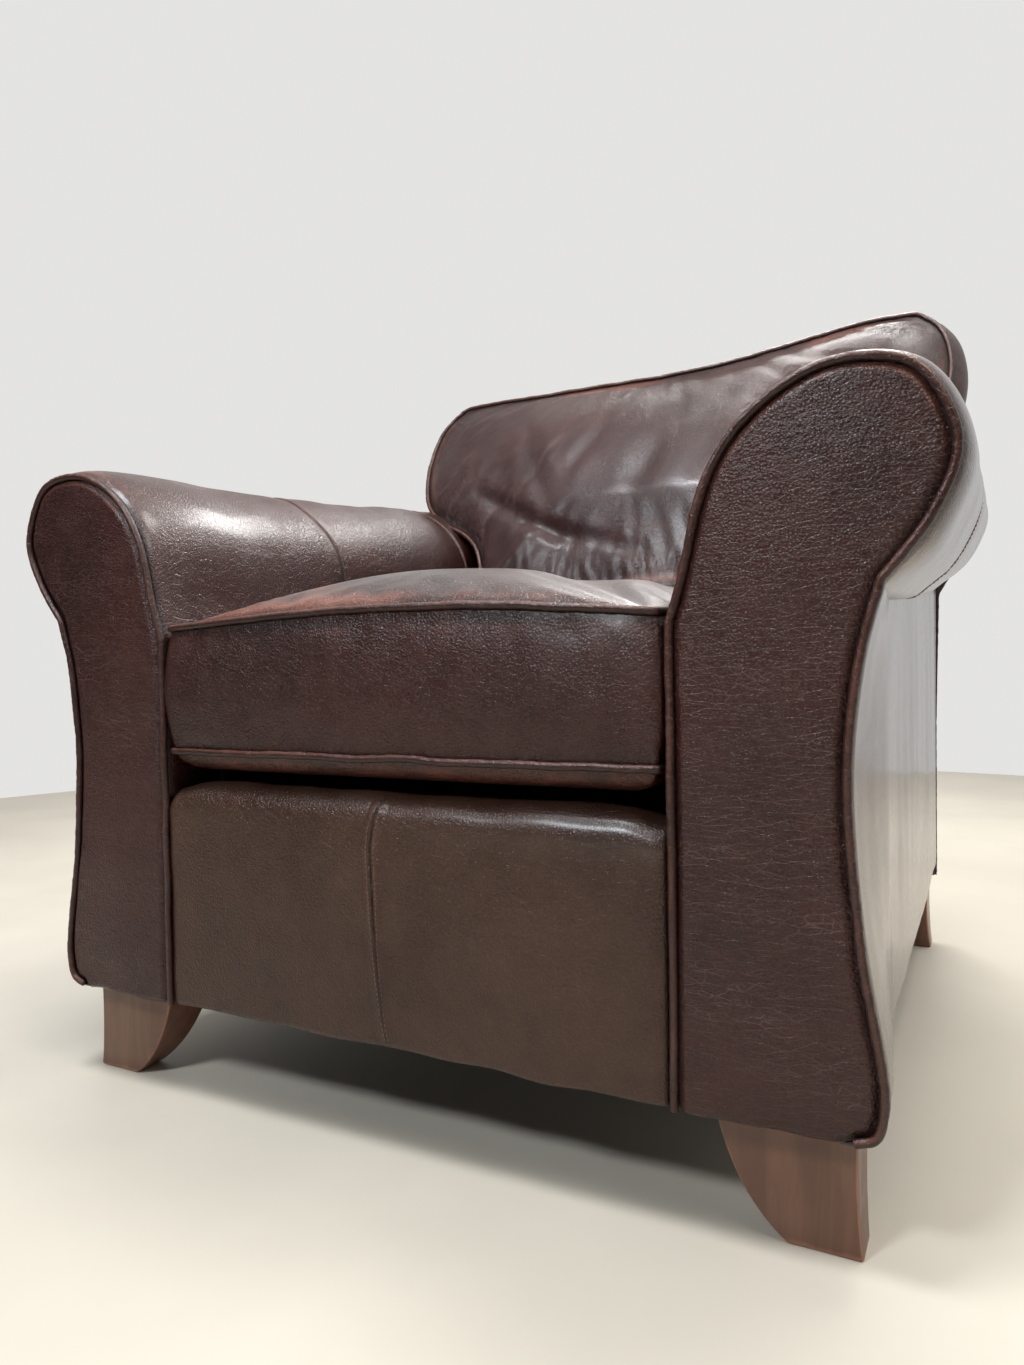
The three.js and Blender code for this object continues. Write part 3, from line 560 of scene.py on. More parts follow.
# Timber: figure between two browns, darker open pores, paler rubbed arrises and a few specks.
def makeWood(name, dark, light, roughness, coat, stretch, poreDepth):
    material, tree, shader = newMaterial(name, light)
    place = addNode(tree, "TexCoord").outputs["Object"]
    wood = useGroup(tree, woodGrain, {"Place": place, "Stretch": stretch})
    dust = useGroup(tree, dustSpecks, {"Place": place, "Amount": 0.3})
    worn = addNode(tree, "Attribute", attribute_name="rubAndLight", attribute_type="GEOMETRY").outputs["Fac"]
    edge = useGroup(tree, rubbedEdgeAndLight, {"Place": place, "RubAndLight": worn, "Height": wood["Figure"], "Reach": 1.0})
    colour = mixColour(tree, wood["Figure"], dark, light)
    colour = mixColour(tree, math2(tree, "MULTIPLY", wood["Pore"], 0.4), colour, dark)
    bare = [min(1, c * 2.2) for c in light]
    colour = mixColour(tree, math2(tree, "MULTIPLY", edge["Mask"], 0.7), colour, bare)
    colour = mixColour(tree, dust["Speck"], colour, (0.4, 0.36, 0.32))
    tree.links.new(colour, shader.inputs["Base Color"])
    tree.links.new(math2(tree, "ADD", roughness, math2(tree, "MULTIPLY", wood["Smudge"], 0.14)),
                   shader.inputs["Roughness"])
    bump = addNode(tree, "Bump", {"Height": wood["Pore"], "Strength": 0.6, "Distance": poreDepth})
    bump.invert = True
    tree.links.new(bump.outputs[0], shader.inputs["Normal"])
    shader.inputs["Coat Weight"].default_value = coat
    shader.inputs["Coat Roughness"].default_value = 0.2
    return material


footWood = makeWood("footWood", (0.125, 0.052, 0.030), (0.175, 0.080, 0.047), 0.36, 0.25, (1, 1, 0.1),
                    0.00006)
frameWood = makeWood("frameWood", (0.36, 0.22, 0.115), (0.52, 0.36, 0.21), 0.7, 0.0, (1, 0.1, 1), 0.0002)


# Plain woven stuff: two sets of ribs at right angles, threads Pitch metres apart.
def makeWeave():
    tree, given, out = newGroup("plainWeave", {"Place": (0, 0, 0), "Pitch": 0.0012}, ("Height", "Tone"))
    parts = addNode(tree, "SeparateXYZ", {0: given["Place"]})
    turn = math2(tree, "DIVIDE", 2 * math.pi, given["Pitch"])
    waves = [addNode(tree, "Math", {0: math2(tree, "MULTIPLY", axis, turn)}, operation="SINE").outputs[0]
             for axis in (parts.outputs["X"], math2(tree, "ADD", parts.outputs["Y"], parts.outputs["Z"]))]
    crossing = math2(tree, "MULTIPLY", waves[0], waves[1])
    tree.links.new(math2(tree, "ADD", math2(tree, "MULTIPLY", crossing, 0.5), 0.5), out["Height"])
    lint = addNode(tree, "TexNoise", {"Vector": given["Place"], "Scale": 40.0, "Detail": 5.0}).outputs["Fac"]
    tree.links.new(ramp(tree, lint, 0.4, 0.75), out["Tone"])
    return tree


plainWeave = makeWeave()


# Woven cloth: light on the crossings and dark between them, with lint and dust.
def makeCloth(name, dark, light, pitch, roughness=0.9):
    material, tree, shader = newMaterial(name, light)
    place = addNode(tree, "TexCoord").outputs["Object"]
    weave = useGroup(tree, plainWeave, {"Place": place, "Pitch": pitch})
    dust = useGroup(tree, dustSpecks, {"Place": place, "Amount": 0.6})
    colour = mixColour(tree, weave["Height"], dark, light)
    colour = mixColour(tree, math2(tree, "MULTIPLY", weave["Tone"], 0.4), colour, [c * 1.8 for c in light])
    colour = mixColour(tree, math2(tree, "MULTIPLY", dust["Film"], 0.2), colour, (0.3, 0.28, 0.26))
    tree.links.new(colour, shader.inputs["Base Color"])
    shader.inputs["Roughness"].default_value = roughness
    shader.inputs["Sheen Weight"].default_value = 0.2
    bump = addNode(tree, "Bump", {"Height": weave["Height"], "Strength": 0.8, "Distance": pitch * 0.25})
    tree.links.new(bump.outputs[0], shader.inputs["Normal"])
    return material


blackCloth = makeCloth("blackCloth", (0.004, 0.004, 0.0045), (0.011, 0.0105, 0.011), 0.0011)
webbingCloth = makeCloth("webbingCloth", (0.02, 0.016, 0.013), (0.045, 0.036, 0.03), 0.0024)
threadCloth = makeCloth("stitchThread", (0.10, 0.055, 0.04), (0.21, 0.13, 0.10), 0.0005, 0.6)


# Drawn spring wire and bolts: grey metal with brown bloom in patches.
def makeSteel(name):
    material, tree, shader = newMaterial(name, (0.3, 0.3, 0.3))
    place = addNode(tree, "TexCoord").outputs["Object"]
    patina = useGroup(tree, hidePatina, {"Place": place, "Scale": 3.0})
    colour = mixColour(tree, patina["Mottle"], (0.36, 0.35, 0.34), (0.16, 0.085, 0.045))
    tree.links.new(colour, shader.inputs["Base Color"])
    tree.links.new(math2(tree, "SUBTRACT", 1.0, math2(tree, "MULTIPLY", patina["Mottle"], 0.8)),
                   shader.inputs["Metallic"])
    tree.links.new(math2(tree, "ADD", 0.35, math2(tree, "MULTIPLY", patina["Mottle"], 0.4)),
                   shader.inputs["Roughness"])
    bump = addNode(tree, "Bump", {"Height": patina["Fleck"], "Strength": 0.4, "Distance": 0.0001})
    tree.links.new(bump.outputs[0], shader.inputs["Normal"])
    return material


springSteel = makeSteel("springSteel")
print("materials ready:", len(bpy.data.materials))


arm = {
    "seatHalfWidth": 257,
    "coverBottom": 93,
    "backPlane": 897,
    "backRake": 0.053,
    "rise": 70,
    "riseStart": 300,
    "riseFull": 480,
    "roll": [[257, 458], [267, 491], [286, 561], [320, 607], [374, 634], [431, 624], [457, 571],
             [442, 522], [410, 480]],
    "flank": [[410, 480], [396, 425], [388, 342], [395, 238], [409, 150], [410, 119], [404, 100], [389, 93]],
    "flankRear": 396,
    "underRadius": 25,
    "bulge": 9.5,
    "seams": (298, 618),
    "seamDepth": 2.2,
}


# Outline of an arm's front: up the flat inner side, over the roll and down the flank.
def facingLine():
    inner = arm["seatHalfWidth"]
    flat = [(inner, arm["coverBottom"]), (inner, 230), (inner, 350)]
    return np.concatenate([flat, throughPoints(arm["roll"], 12), throughPoints(arm["flank"], 10)[1:]])


# Lifts arm points towards the back, and leans them with the outside back.
def followArm(points):
    height, depth = points[..., 2], points[..., 1]
    rise = arm["rise"] * (np.maximum(depth, 0) / arm["backPlane"]) ** 1.8
    lean = 1 + arm["backRake"] * (height - arm["coverBottom"]) / arm["backPlane"]
    lifted = height + rise * smooth(height, arm["riseStart"], arm["riseFull"])
    return np.stack([points[..., 0], depth * lean, lifted], -1)


facing = {
    "rows": 180,
    "columns": 84,
    "face": 2.6,
    "groove": 4.4,
    "dome": 2.0,
    "turnUnder": 5.0,
    "pipingInset": 3.3,
    "pipingDepth": 5.0,
    "pipingRadius": 3.4,
}


# Front panel of an arm: rows across the outline at rising heights, pushed back into a groove beside
# the piping and swelling a little in the middle. Its foot is turned under and slightly wavy.
def buildFacing(label, side, seed):
    outline = evenly(facingLine(), 800)
    rim = offsetLine(outline, -facing["pipingInset"])
    top = rim[:, 1].argmax()
    heights = np.sort(np.concatenate([evenly(rim[: top + 1], facing["rows"] // 2)[:, 1],
                                      evenly(rim[top:], facing["rows"] // 2)[:, 1]]))
    heights = np.unique(np.round(np.clip(heights, 93.2, rim[top, 1] - 0.05), 1))
    inner = np.interp(heights, rim[: top + 1, 1], rim[: top + 1, 0])
    outer = np.interp(heights, rim[top:, 1][::-1], rim[top:, 0][::-1])
    across = np.linspace(0, 1, facing["columns"])
    x = mix(inner[:, None], outer[:, None], across[None])
    z = np.broadcast_to(heights[:, None], x.shape)
    gap, place = distanceTo(np.stack([x, z], -1), rim)
    spot = np.stack([x * side, x * 0, z], -1)
    foot = arm["coverBottom"] + 0.7 + 1.1 * softNoise(spot, 45, seed)
    z = foot + (z - arm["coverBottom"]) * (heights[-1] - foot) / (heights[-1] - arm["coverBottom"])
    y = facing["face"] + facing["groove"] * (1 - smooth(gap, 2.5, 10.5)) - facing["dome"] * smooth(gap, 7, 70)
    ripple = np.sin(place / 8.5 * 2 * np.pi + 2.2 * softNoise(spot, 40, seed + 1))
    y = y + 0.4 * ripple * bell(gap, 10, 7) * smooth(softNoise(spot, 130, seed + 2), -0.4, 0.6)
    y = y + 0.7 * softNoise(spot, 190, seed + 3) + 0.22 * softNoise(spot, 55, seed + 4, (1.6, 1, 0.7))
    curl = np.clip((foot + facing["turnUnder"] - z) / facing["turnUnder"], 0, 1)
    y = y + facing["turnUnder"] * (1 - np.sqrt(1 - curl**2))
    points = np.stack([x * side, y, z], -1)
    under = points[:1] + (0, 9, 0.3)
    points = np.concatenate([under, points])
    gap = np.concatenate([gap[:1], gap])
    z = points[..., 2]
    rubAndLight = 0.55 * bell(gap, 7, 5) * smooth(z, 480, 600) + 0.35 * bell(z, 94, 6)
    # Painted shade in the groove beside the piping.
    seamShade = 0.75 * bell(gap, 3.4, 2.4)
    piece = newPiece(f"{label}_arm_facing", points, gridFaces(*points.shape[:2]), leathers["facing"],
                     slot="leather", replaced=(f"{label}_arm_facing",), inside=(340 * side, 100, 400),
                     values={"rubAndLight": rubAndLight.ravel(), "seamShade": seamShade.ravel()}, thickness=2.4)
    path = np.stack([rim[:, 0] * side, rim[:, 0] * 0 + facing["pipingDepth"], rim[:, 1]], -1)
    path = path + 0.35 * softNoise(path, 60, seed + 5)[:, None] * (0.4, 1, 0.4)
    addCord(f"{label}_facing_piping", path, facing["pipingRadius"], leathers["piping"], seed=seed,
            worn=(0, -0.75, 0.6), replaced=(f"{label}_facing_piping",))
    return piece


# Padded cover over an arm: the roll's outline carried back along the arm. It swells out just behind
# the piping and is drawn in at the two cross seams, with small puckers running into them.
def buildArmCover(label, side, seed):
    inner = [(arm["seatHalfWidth"], 300), (arm["seatHalfWidth"], 400)]
    under = [(402, 476), (391, 479)]
    line = np.concatenate([inner, throughPoints(arm["roll"], 12), under])
    line = evenly(line, 132)
    along = lengthAlong(line)
    direction = np.gradient(line, axis=0)
    direction /= np.linalg.norm(direction, axis=1)[:, None]
    outward = np.stack([-direction[:, 1], direction[:, 0]], -1)
    depth = np.concatenate([np.linspace(7.2, 34, 12), np.linspace(38, 890.5, 148)]
                           + [np.linspace(y - 10, y + 10, 13) for y in arm["seams"]])
    depth = np.unique(np.round(depth, 1))
    y, x, z = depth[:, None], line[None, :, 0], line[None, :, 1]
    spot = np.stack(np.broadcast_arrays(x * side, y, z), -1)
    last = along[-1]
    swell = smooth(along, 150, 285) * (1 - 0.75 * smooth(along, last - 60, last - 16))
    push = arm["bulge"] * swell[None] * (1 - np.exp(-np.maximum(y - 8, 0) / 17)) - 2.2 * bell(y, 7, 3.5)
    uneven = 1.5 * softNoise(spot, 210, seed) + 0.5 * softNoise(spot, 70, seed + 1)
    push = push + uneven * smooth(y, 10, 90) * (0.25 + 0.75 * swell[None])
    # Painted shade at the joint with the facing; below, also along each cross seam.
    seamShade, rubAndLight, fold = bell(y, 8, 3) + 0 * x, 0 * spot[..., 0], 0 * spot[..., 0]
    paths = []
    for number, seam in enumerate(arm["seams"]):
        wander = softNoise(spot[:1, :, :], 160, seed + 5 + number)[0]
        seamLine = seam + 5 * np.sin(along / 190 + number) + 3 * wander
        away = y - seamLine[None]
        puckers = np.sin(along[None] / 12 * 2 * np.pi + 2.5 * softNoise(spot, 50, seed + 7))
        push = push - arm["seamDepth"] * bell(away, 0, 2.1) - 1.6 * bell(away, 0, 26) * swell[None]
        push = push + 1.2 * smooth(away, 0.4, 3.0) * np.exp(-np.maximum(away, 0) / 11)
        gathered = smooth(softNoise(spot, 90, seed + 8), -0.5, 0.8)
        push = push + 0.4 * puckers * bell(np.abs(away), 9, 9) * gathered
        # Painted shade in the seam's groove.
        seamShade = np.maximum(seamShade, 0.95 * bell(away, 0, 1.9))
        rubAndLight = np.maximum(rubAndLight, 0.62 * bell(away, 3.5, 2.6))
        paths.append(seamLine)
    strain = foldLines(spot, 95, seed + 11, 0.09, (1, 2.4, 1))
    strain = strain * smooth(softNoise(spot, 160, seed + 12), 0, 0.7)
    push = push - 0.5 * strain * swell[None]
    fold = 0.35 * strain
    crown = bell(z, 640, 34)
    rubAndLight = np.maximum(rubAndLight, 0.55 * bell(y, 14, 20) * smooth(z, 570, 628))
    rubAndLight = np.maximum(rubAndLight, 0.5 * crown * smooth(softNoise(spot, 120, seed + 13), -0.3, 0.9) * bell(y, 90, 150))
    outer = 0.85 * smooth(along, last - 270, last - 190)[None] + 0 * y
    sleek = np.maximum(outer, 0.3 * smooth(z, 430, 560) * (1 - smooth(y, 90, 260)))
    flat = line[None] + outward[None] * push[..., None]
    points = followArm(np.stack(np.broadcast_arrays(flat[..., 0] * side, y, flat[..., 1]), -1))
    piece = newPiece(f"{label}_arm_cover", points, gridFaces(*points.shape[:2]), leathers["arm"],
                     slot="leather", replaced=(f"{label}_arm_cover",), inside=(350 * side, 450, 540),
                     values={"rubAndLight": rubAndLight.ravel(), "seamShade": seamShade.ravel(), "fold": fold.ravel(),
                             "sleek": sleek.ravel()}, thickness=3)
    shown = (along > 90) & (along < last - 14)
    for number, seamLine in enumerate(paths):
        rows = np.interp(seamLine + 3.2, depth, np.arange(len(depth)))
        low = np.floor(rows).astype(int)
        columns = np.arange(len(along))
        path = mix(points[low, columns], points[np.minimum(low + 1, len(depth) - 1), columns],
                   (rows - low)[:, None])
        away = np.stack([outward[:, 0] * side, outward[:, 0] * 0, outward[:, 1]], -1)
        addStitches(f"{label}_arm_stitches_{number + 1}", path[shown] + away[shown] * 0.15, away[shown],
                    threadCloth, pitch=4.2, length=3.0, radius=0.36)
    return piece


outsideArm = {"rows": 100, "columns": 118, "slack": 0.9}


# Flat leather down the outside of an arm. In front it follows the facing's flank, and it flattens to
# a plumb panel behind; its foot curls under.
def buildOutsideArm(label, side, seed):
    front = evenly(np.concatenate([[(399, 496)], throughPoints(arm["flank"], 10), [(378, 93.4)]]), 400)
    turn = np.linspace(0, np.pi / 2, 14)
    radius = arm["underRadius"]
    edge = arm["flankRear"]
    curl = np.stack([edge - radius + radius * np.cos(turn), 118 - radius * np.sin(turn)], -1)
    rear = evenly(np.concatenate([[(edge, 496), (edge, 300)], curl, [(edge - 34, 93.3)]]), 400)
    share = np.linspace(0, 1, outsideArm["rows"])
    share = mix(share, share**0.6, 0.35)
    front, rear = evenly(front, shares=share), evenly(rear, shares=share)
    depth = np.concatenate([np.linspace(7.2, 40, 12), np.linspace(44, 890.5, outsideArm["columns"])])
    blend = smooth(depth, 0, 200)[None, :, None]
    section = mix(front[:, None], rear[:, None], blend)
    y = np.broadcast_to(depth[None], section.shape[:2])
    spot = np.stack([section[..., 0] * side, y, section[..., 1]], -1)
    push = outsideArm["slack"] * softNoise(spot, 230, seed)
    push = push + 0.35 * softNoise(spot, 80, seed + 1, (1, 1, 1.6))
    push = push * smooth(y, 10, 60) * (1 - 0.6 * smooth(y, 850, 889)) - 2.4 * bell(y, 7, 3.5)
    push = push - 1.2 * bell(y, 889, 7)
    hem = 0.9 * softNoise(spot, 60, seed + 2) * bell(spot[..., 2], 96, 14)
    x = section[..., 0] + push * smooth(section[..., 1], 93, 112)
    points = followArm(np.stack([x * side, y, section[..., 1] + hem * 0.6], -1))
    # Painted shade at the front joint, under the roll and at the rear edge.
    seamShade = np.maximum(bell(y, 8, 3), 0.8 * bell(section[..., 1], 486, 9))
    seamShade = np.maximum(seamShade, 0.7 * bell(y, 889, 4))
    rubAndLight = 0.4 * bell(section[..., 1], 97, 9)
    return newPiece(f"{label}_outside_arm", points, gridFaces(*points.shape[:2]), leathers["outside"],
                    slot="leather", replaced=(f"{label}_outside_arm",), inside=(300 * side, 450, 300),
                    values={"seamShade": seamShade.ravel(), "rubAndLight": rubAndLight.ravel()}, thickness=2.4)


for label, side, seed in (("left", -1, 11), ("right", 1, 41)):
    buildFacing(label, side, seed)
    buildArmCover(label, side, seed + 100)
    buildOutsideArm(label, side, seed + 200)
print("arms ready")


border = {
    "reach": 256.2,
    "face": 3.0,
    "top": 315,
    "backEdge": 76,
    "topRadius": 24,
    "seam": [[313, -3], [273, -11], [181, -7], [114, -1], [92, 4]],  # height, distance from the centre
    "seamSpread": 4.0,
    "cornerDrop": 9,
}


# Leather over the front rail: a side-view profile, turned under at the foot and rounded over the top,
# carried across the chair. The middle seam is a raised double fold that fades towards the foot.
def buildBorder():
    turn = np.linspace(0, np.pi / 2, 12)
    face, top, radius = border["face"], border["top"], border["topRadius"]
    foot = np.stack([face + 6 - 6 * np.sin(turn), 99.5 - 6 * np.cos(turn)], -1)
    head = np.stack([face + radius * (1 - np.cos(turn)), top - radius + radius * np.sin(turn)], -1)
    profile = np.concatenate([[(34, 95.5)], foot, head, [(border["backEdge"], top + 1), (82, 306)]])
    profile = evenly(profile, 130)
    seam = np.array(border["seam"])[::-1]
    seamX = np.interp(np.arange(90, 320), seam[:, 0], seam[:, 1])
    seamX = np.convolve(np.pad(seamX, 12, "edge"), np.ones(25) / 25, "valid")
    seamX = np.interp(profile[:, 1], np.arange(90, 320), seamX)[:, None]
    across = np.unique(np.round(np.concatenate([np.linspace(-border["reach"], border["reach"], 140),
                                                np.linspace(-22, 14, 46)]), 2))[None]
    y, z = profile[:, :1], profile[:, 1:]
    x = across + 0 * y
    spot = np.stack([x, y + 0 * x, z + 0 * x], -1)
    away = x - seamX
    onFace = smooth(z, 96, 110) * (1 - smooth(y, face + 6, face + 26))
    fade = onFace * (0.35 + 0.65 * smooth(z, 90, 250))
    belly = 1.6 * np.sin(np.pi * np.clip((z - 93) / 200, 0, 1)) * (1 - (x / border["reach"]) ** 6)
    push = belly * onFace + 0.8 * softNoise(spot, 200, 71) + 0.25 * softNoise(spot, 60, 72, (1.5, 1, 1))
    push = push + fade * (1.7 * bell(away, 0, 6.5) - 2.4 * bell(away, 0, 1.2))
    push = push - fade * 0.5 * (bell(away, 9.5, 3) + bell(away, -9.5, 3))
    edgeIn = smooth(np.abs(x), border["reach"] - 9, border["reach"])
    push = push - 3.2 * edgeIn
    drop = border["cornerDrop"] * smooth(np.abs(x), 205, border["reach"]) ** 2 * smooth(z, 270, top)
    drop = drop + 1.5 * softNoise(spot, 90, 73) * smooth(z, 285, top)
    hem = 1.0 * softNoise(spot, 55, 74) * (1 - smooth(z, 95, 112))
    points = np.stack([x, y - push * (1 - smooth(y, face + 20, face + 50)), z - drop + hem], -1)
    rubAndLight = np.maximum(0.5 * bell(np.abs(away), 4.5, 2.5) * fade, 0.3 * bell(z, 305, 12) * (y < 40))
    rubAndLight = np.maximum(rubAndLight, 0.35 * bell(z, 95, 6) * (y < 12))
    ends = smooth(np.abs(x), border["reach"] - 4, border["reach"])
    # Painted shade in the middle seam and at the ends against the arms.
    seamShade = np.maximum(0.9 * fade * bell(away, 0, 1.1), 0.7 * ends)
    newPiece("front_border", points, gridFaces(*points.shape[:2]), leathers["border"], slot="leather",
             replaced=("front_border",), inside=(0, 70, 200), thickness=3,
             values={"rubAndLight": rubAndLight.ravel(), "seamShade": seamShade.ravel(),
                     "sleek": (0.8 * bell(z, 300, 20) * smooth(x, -80, 160)).ravel()})
    rows = np.flatnonzero((profile[:, 0] < face + 7) & (profile[:, 1] > 98))
    for number, sign in enumerate((-1, 1)):
        spread = border["seamSpread"] * (0.45 + 0.55 * smooth(profile[rows, 1], 90, 260))
        wanted = seamX[rows, 0] + sign * spread
        column = np.abs(across - wanted[:, None]).argmin(1)
        path = points[rows, column]
        path[:, 0] = wanted
        path[:, 1] -= 0.25
        addStitches(f"border_stitches_{number + 1}", path, (0, -1, 0.0), threadCloth, pitch=4.4, length=3.1,
                    radius=0.36)


buildBorder()
print("front border ready")


# The numbers of a grid's edge points, counter-clockwise from the first row.
def rimOf(rows, columns):
    index = np.arange(rows * columns).reshape(rows, columns)
    return np.concatenate([index[0, :-1], index[:-1, -1], index[-1, :0:-1], index[:0:-1, 0]])


# A closed cushion: two grids that face each other and a boxing strip of rows between their rims.
# bulge is how far each part of the strip stands out, as rows by rim points.
def cushionShell(top, bottom, rows, bulge):
    size, rim = top.shape[0] * top.shape[1], rimOf(*top.shape[:2])
    upper, lower = top.reshape(-1, 3), bottom.reshape(-1, 3)
    a, b = upper[rim], lower[rim]
    along = np.roll(a, -1, 0) - np.roll(a, 1, 0)
    outward = np.cross(along, a - b)
    outward /= np.linalg.norm(outward, axis=1)[:, None]
    share = (np.arange(1, rows) / rows)[:, None, None]
    strip = mix(a[None], b[None], share) + outward[None] * bulge[1:-1, :, None]
    points = np.concatenate([upper, lower, strip.reshape(-1, 3)])
    index = np.arange(2 * size, 2 * size + (rows - 1) * len(rim)).reshape(rows - 1, len(rim))
    rings = np.concatenate([rim[None], index, rim[None] + size])
    rings = np.concatenate([rings, rings[:, :1]], 1)
    corners = np.stack([rings[:-1, :-1], rings[1:, :-1], rings[1:, 1:], rings[:-1, 1:]], -1).reshape(-1, 4)
    panel = gridFaces(*top.shape[:2])
    faces = np.concatenate([panel, (panel + size)[:, ::-1], corners])
    return points, faces, rim, size


# Fills the shell as stuffing would: cloth under pressure, held at its seams, in a leather cut a
# little larger than the shape. Nothing moves further than limit.
def plump(points, faces, held, pressure, grow, limit, frames=18):
    mesh = bpy.data.meshes.new("filling")
    mesh.from_pydata((points * 0.001).tolist(), [], faces.tolist())
    filling = bpy.data.objects.new("filling", mesh)
    bpy.context.scene.collection.objects.link(filling)
    seams = filling.vertex_groups.new(name="seams")
    seams.add(np.unique(held).tolist(), 1.0, "REPLACE")
    cloth = filling.modifiers.new("cloth", "CLOTH")
    rules = cloth.settings
    rules.quality, rules.mass = 7, 0.35
    rules.tension_stiffness = rules.compression_stiffness = 25
    rules.shear_stiffness, rules.bending_stiffness = 12, 1.2
    rules.use_pressure, rules.uniform_pressure_force = True, pressure
    rules.shrink_min = rules.shrink_max = -grow
    rules.effector_weights.gravity = 0
    rules.vertex_group_mass, rules.pin_stiffness = "seams", 1
    cloth.collision_settings.use_collision = False
    cloth.point_cache.frame_end = frames + 2
    for step in range(1, frames + 1):
        bpy.context.scene.frame_set(step)
    shown = filling.evaluated_get(bpy.context.evaluated_depsgraph_get())
    result = np.zeros(len(points) * 3, np.float32)
    shown.data.vertices.foreach_get("co", result)
    bpy.context.scene.frame_set(1)
    bpy.data.objects.remove(filling)
    moved = result.reshape(-1, 3) * 1000.0 - points
    size = np.linalg.norm(moved, axis=1)[:, None]
    print("  filling moved at most", round(float(size.max()), 1), "mm")
    return points + moved * np.minimum(1, limit / np.maximum(size, 1e-6))


seat = {
    "halfWidth": 251.4,
    "front": 4.6,
    "rear": 671.4,
    "pull": 0.012,
    "seamSide": 467,
    "seamMiddle": 12,
    "bottomSeam": 348,
    "bottom": 327,
    "underRound": 34,
    "crown": 37,
    "columns": 84,
    "rows": 104,
    "boxingRows": 22,
    "pressure": 3.0,
    "grow": 0.003,
    "limit": 9,
}


# Plan of the seat: a rectangle whose sides are drawn in only at the corners, by the eighth power.
def seatPlan(u, v):
    middle, half = (seat["front"] + seat["rear"]) / 2, (seat["rear"] - seat["front"]) / 2
    return (seat["halfWidth"] * u * (1 - seat["pull"] * np.abs(v) ** 8),
            middle + half * v * (1 - seat["pull"] * np.abs(u) ** 8))


# Height of the top seam: highest in the middle of the front, lower at the corners.
def seatSeamHeight(u, v):
    return seat["seamSide"] + seat["seamMiddle"] * (1 - u**2) * smooth(-v, 0.2, 1) + 5 * (1 - v**2) * u**2


